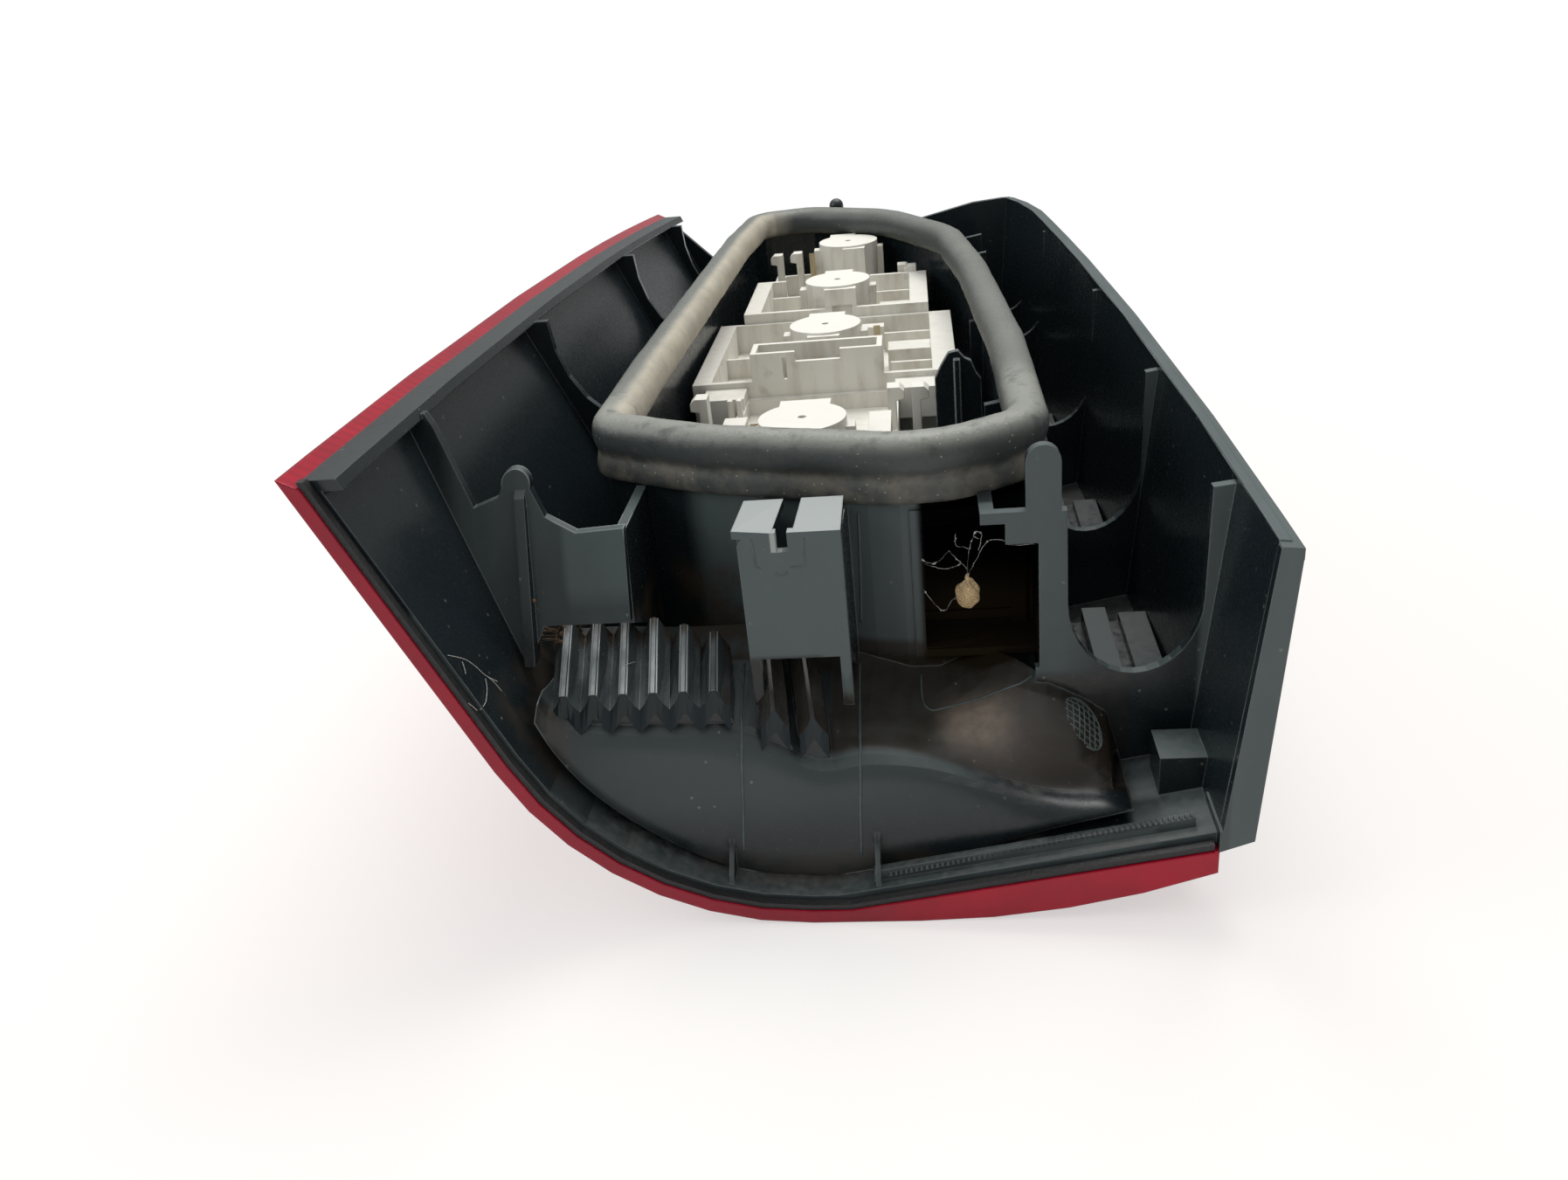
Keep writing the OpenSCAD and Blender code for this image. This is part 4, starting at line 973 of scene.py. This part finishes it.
class LAMP_OT_seal(bpy.types.Operator):
    """Builds the foam-rubber seal as a smooth loop with a crease, waves and dust"""
    bl_idname = "lamp.seal"
    bl_label = "Seal"

    # Across the seal: how far inside its outline and how high above the datum, mm
    SECTION = [(2.5, 88.0), (1.0, 88.0), (0.25, 88.9), (0.0, 90.4), (0.2, 92.6), (0.95, 94.6),
               (1.1, 95.4), (0.5, 96.4), (0.05, 98.2), (0.0, 100.6), (0.5, 102.9), (1.8, 104.7),
               (3.8, 105.8), (6.0, 106.0), (8.2, 105.7), (10.2, 104.5), (11.5, 102.6), (12.0, 100.2),
               (11.8, 97.8), (11.1, 95.4), (9.0, 93.8), (5.6, 93.2), (5.4, 98.1), (2.5, 98.1)]
    STEP_DEG = 5                # between the points of an arc
    SPACING = 3.0               # between the points of a straight stretch, mm
    FOAM_FINENESS = 90          # of the foam's waves, per metre

    def execute(self, context):
        settings = context.scene.lamp_seal
        path = evened(seal_path(self.STEP_DEG), self.SPACING)
        points = []
        for point, normal in path:
            for inset, height in self.SECTION:
                spot = point + normal * inset
                points.append((spot.x, spot.y, height + DATUM))
        m = len(self.SECTION)
        faces = []
        for i in range(len(path)):
            for j in range(m):
                a, b = ((i + 1) % len(path)) * m, (j + 1) % m
                faces.append((i * m + j, a + j, a + b, i * m + b))
        seal = piece_from("seal_loop", points, faces)
        applied(seal, "SUBSURF", levels=1)
        normals = [vertex.normal.copy() for vertex in seal.data.vertices]
        for vertex, normal in zip(seal.data.vertices, normals):
            spot = vertex.co * self.FOAM_FINENESS
            push = noise.noise(spot) * settings.wave + noise.noise(spot * 5) * settings.wave * 0.35
            vertex.co += normal * (push - settings.wave * 0.5)
        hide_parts("gasket")
        self.finish(settings).give(seal, NODES["gasket"])
        return {"FINISHED"}

    def finish(self, settings):
        f = Finish("seal_rubber", settings.rubber, 0.5, Specular_IOR_Level=0.5)
        broad = f.grain(26, 4)
        fine = f.grain(1.4, 4)
        looks_up = f.step(f.normal[2], 0.1, 0.9)
        low = f.within((None, None, None), (None, None, 99.0), 1.2)
        left = f.within((-70, -126, 96), (-30, 184, 111), 4)
        looks_right = f.step(f.normal[0], 0.0, 0.55)
        near = f.within((None, None, None), (None, -100, None), 14)
        # Bloom on the upward-facing crown, stronger towards the near end; the lighter crown is also a painted
        # highlight.
        tint = f.mix(f.all(looks_up, f.scaled(near, 0.45, 1.0), f.scaled(broad, 0.5, 1.0)), settings.rubber,
                     settings.bloom)
        soil = f.all(low, f.step(f.grain(9, 5), 0.32, 0.66))
        tint = f.mix(f.all(soil, 0.75), tint, [c * 0.32 for c in settings.soil])
        beige = f.all(left, looks_right, f.scaled(f.grain(9, 5), 0.45, 1.15))
        tint = f.mix(f.all(beige, 0.95), tint, settings.soil)
        tint = f.mix(f.all(f.step(fine, 0.55, 0.8), 0.3), tint, [c * 0.5 for c in settings.rubber])
        stains = f.all(near, f.step(f.grain(6, 5), 0.52, 0.72), 0.6)
        tint = f.mix(stains, tint, [c * 0.7 for c in settings.rubber])
        tint = f.mix(f.all(f.specks(2.4, 0.13), 0.5), tint, settings.soil)
        f.set("Base Color", tint)
        rough = f.math("ADD", f.scaled(fine, 0.34, 0.62), f.all(f.any(soil, beige), 0.2), clamp=True)
        f.set("Roughness", rough)
        skin = f.math("ADD", f.all(f.grain(0.5, 2), 0.5), f.any(fine, f.all(broad, 0.6)))
        f.set("Normal", f.bump(skin, 0.00014))
        return f


class LAMP_OT_carrier(bpy.types.Operator):
    """Gives the bulb carrier, its contacts and the bulbs their finishes"""
    bl_idname = "lamp.carrier"
    bl_label = "Bulb carrier"

    def execute(self, context):
        settings = context.scene.lamp_carrier
        self.ivory(settings).give(NODES["bulb_carrier"])
        strips = [NODES[f"contact_strip_{k}"] for k in range(1, 5)]
        brass = Finish("contact_brass", (0.62, 0.55, 0.38), 0.3, Metallic=1.0)
        brass.set("Base Color", brass.mix(brass.grain(4, 4), (0.62, 0.57, 0.44), (0.36, 0.28, 0.16)))
        brass.set("Roughness", brass.scaled(brass.grain(1.5, 3), 0.22, 0.5))
        brass.give(*strips, NODES["connector_pins"])
        cap = Finish("cap_nickel", (0.6, 0.57, 0.5), 0.28, Metallic=1.0)
        cap.set("Base Color", cap.mix(cap.grain(5, 3), (0.66, 0.63, 0.55), (0.42, 0.36, 0.26)))
        cap.set("Roughness", cap.scaled(cap.grain(2, 3), 0.2, 0.45))
        cap.give(*[NODES[f"bulb_base_{k}"] for k in range(1, 5)])
        glass = Finish("bulb_glass", (0.95, 0.96, 0.96), 0.03, Transmission_Weight=1.0, IOR=1.5)
        glass.set("Roughness", glass.scaled(glass.grain(4, 3), 0.02, 0.10))
        glass.give(*[NODES[f"bulb_glass_{k}"] for k in range(1, 5)])
        mirror = Finish("reflector_metal", (0.82, 0.82, 0.83), 0.1, Metallic=1.0)
        mirror.set("Base Color", mirror.mix(mirror.grain(18, 3), (0.85, 0.85, 0.86), (0.62, 0.61, 0.59)))
        mirror.set("Roughness", mirror.scaled(mirror.grain(6, 4), 0.06, 0.24))
        mirror.give(NODES["reflector"])
        return {"FINISHED"}

    def ivory(self, settings):
        f = Finish("carrier_ivory", settings.ivory, 0.45)
        drip = f.grain(5, 4, (1, 1, 0.18))
        looks_up = f.step(f.normal[2], 0.2, 0.8)
        upright = f.less(1.0, looks_up)
        low = f.within((None, None, None), (None, None, 84), 9)
        soil = f.all(f.step(drip, 0.42, 0.72), f.any(upright, f.all(low, 0.5)))
        stain = f.all(f.step(f.grain(7, 5), 0.58, 0.72), upright)
        tint = f.mix(f.all(soil, 0.45), settings.ivory, settings.soil)
        tint = f.mix(f.all(stain, 0.35), tint, [c * 0.55 for c in settings.soil])
        # Painted shade: the upright faces are darker than the tops.
        tint = f.mix(f.all(upright, 0.3), tint, [c * 0.72 for c in settings.ivory])
        f.set("Base Color", tint)
        f.set("Roughness", f.scaled(f.grain(2, 3), 0.35, 0.6))
        f.set("Normal", f.bump(f.grain(1.1, 2), 0.00005, f.rounded(settings.edge)))
        return f


class LAMP_PT_panel(bpy.types.Panel):
    """Lists the lamp's operators and settings"""
    bl_label = "Tail light cluster"
    bl_idname = "LAMP_PT_panel"
    bl_space_type = "VIEW_3D"
    bl_region_type = "UI"
    bl_category = "Lamp"

    def draw(self, context):
        for operator in OPERATORS:
            self.layout.operator(operator.bl_idname)
        for name, group in SETTINGS.items():
            held = getattr(context.scene, name)
            column = self.layout.column(align=True)
            for item in group.__annotations__:
                column.prop(held, item)


OPERATORS = (LAMP_OT_stage, LAMP_OT_housing, LAMP_OT_marks, LAMP_OT_debris, LAMP_OT_lens, LAMP_OT_seal,
             LAMP_OT_carrier)


def register():
    for group in SETTINGS.values():
        bpy.utils.register_class(group)
    for operator in OPERATORS:
        bpy.utils.register_class(operator)
    bpy.utils.register_class(LAMP_PT_panel)
    for name, group in SETTINGS.items():
        setattr(bpy.types.Scene, name, PointerProperty(type=group))


def unregister():
    for name in SETTINGS:
        delattr(bpy.types.Scene, name)
    bpy.utils.unregister_class(LAMP_PT_panel)
    for operator in reversed(OPERATORS):
        bpy.utils.unregister_class(operator)
    for group in reversed(list(SETTINGS.values())):
        bpy.utils.unregister_class(group)


def main():
    register()
    for operator in OPERATORS:
        space, name = operator.bl_idname.split(".")
        getattr(getattr(bpy.ops, space), name)()


if __name__ == "__main__":
    main()
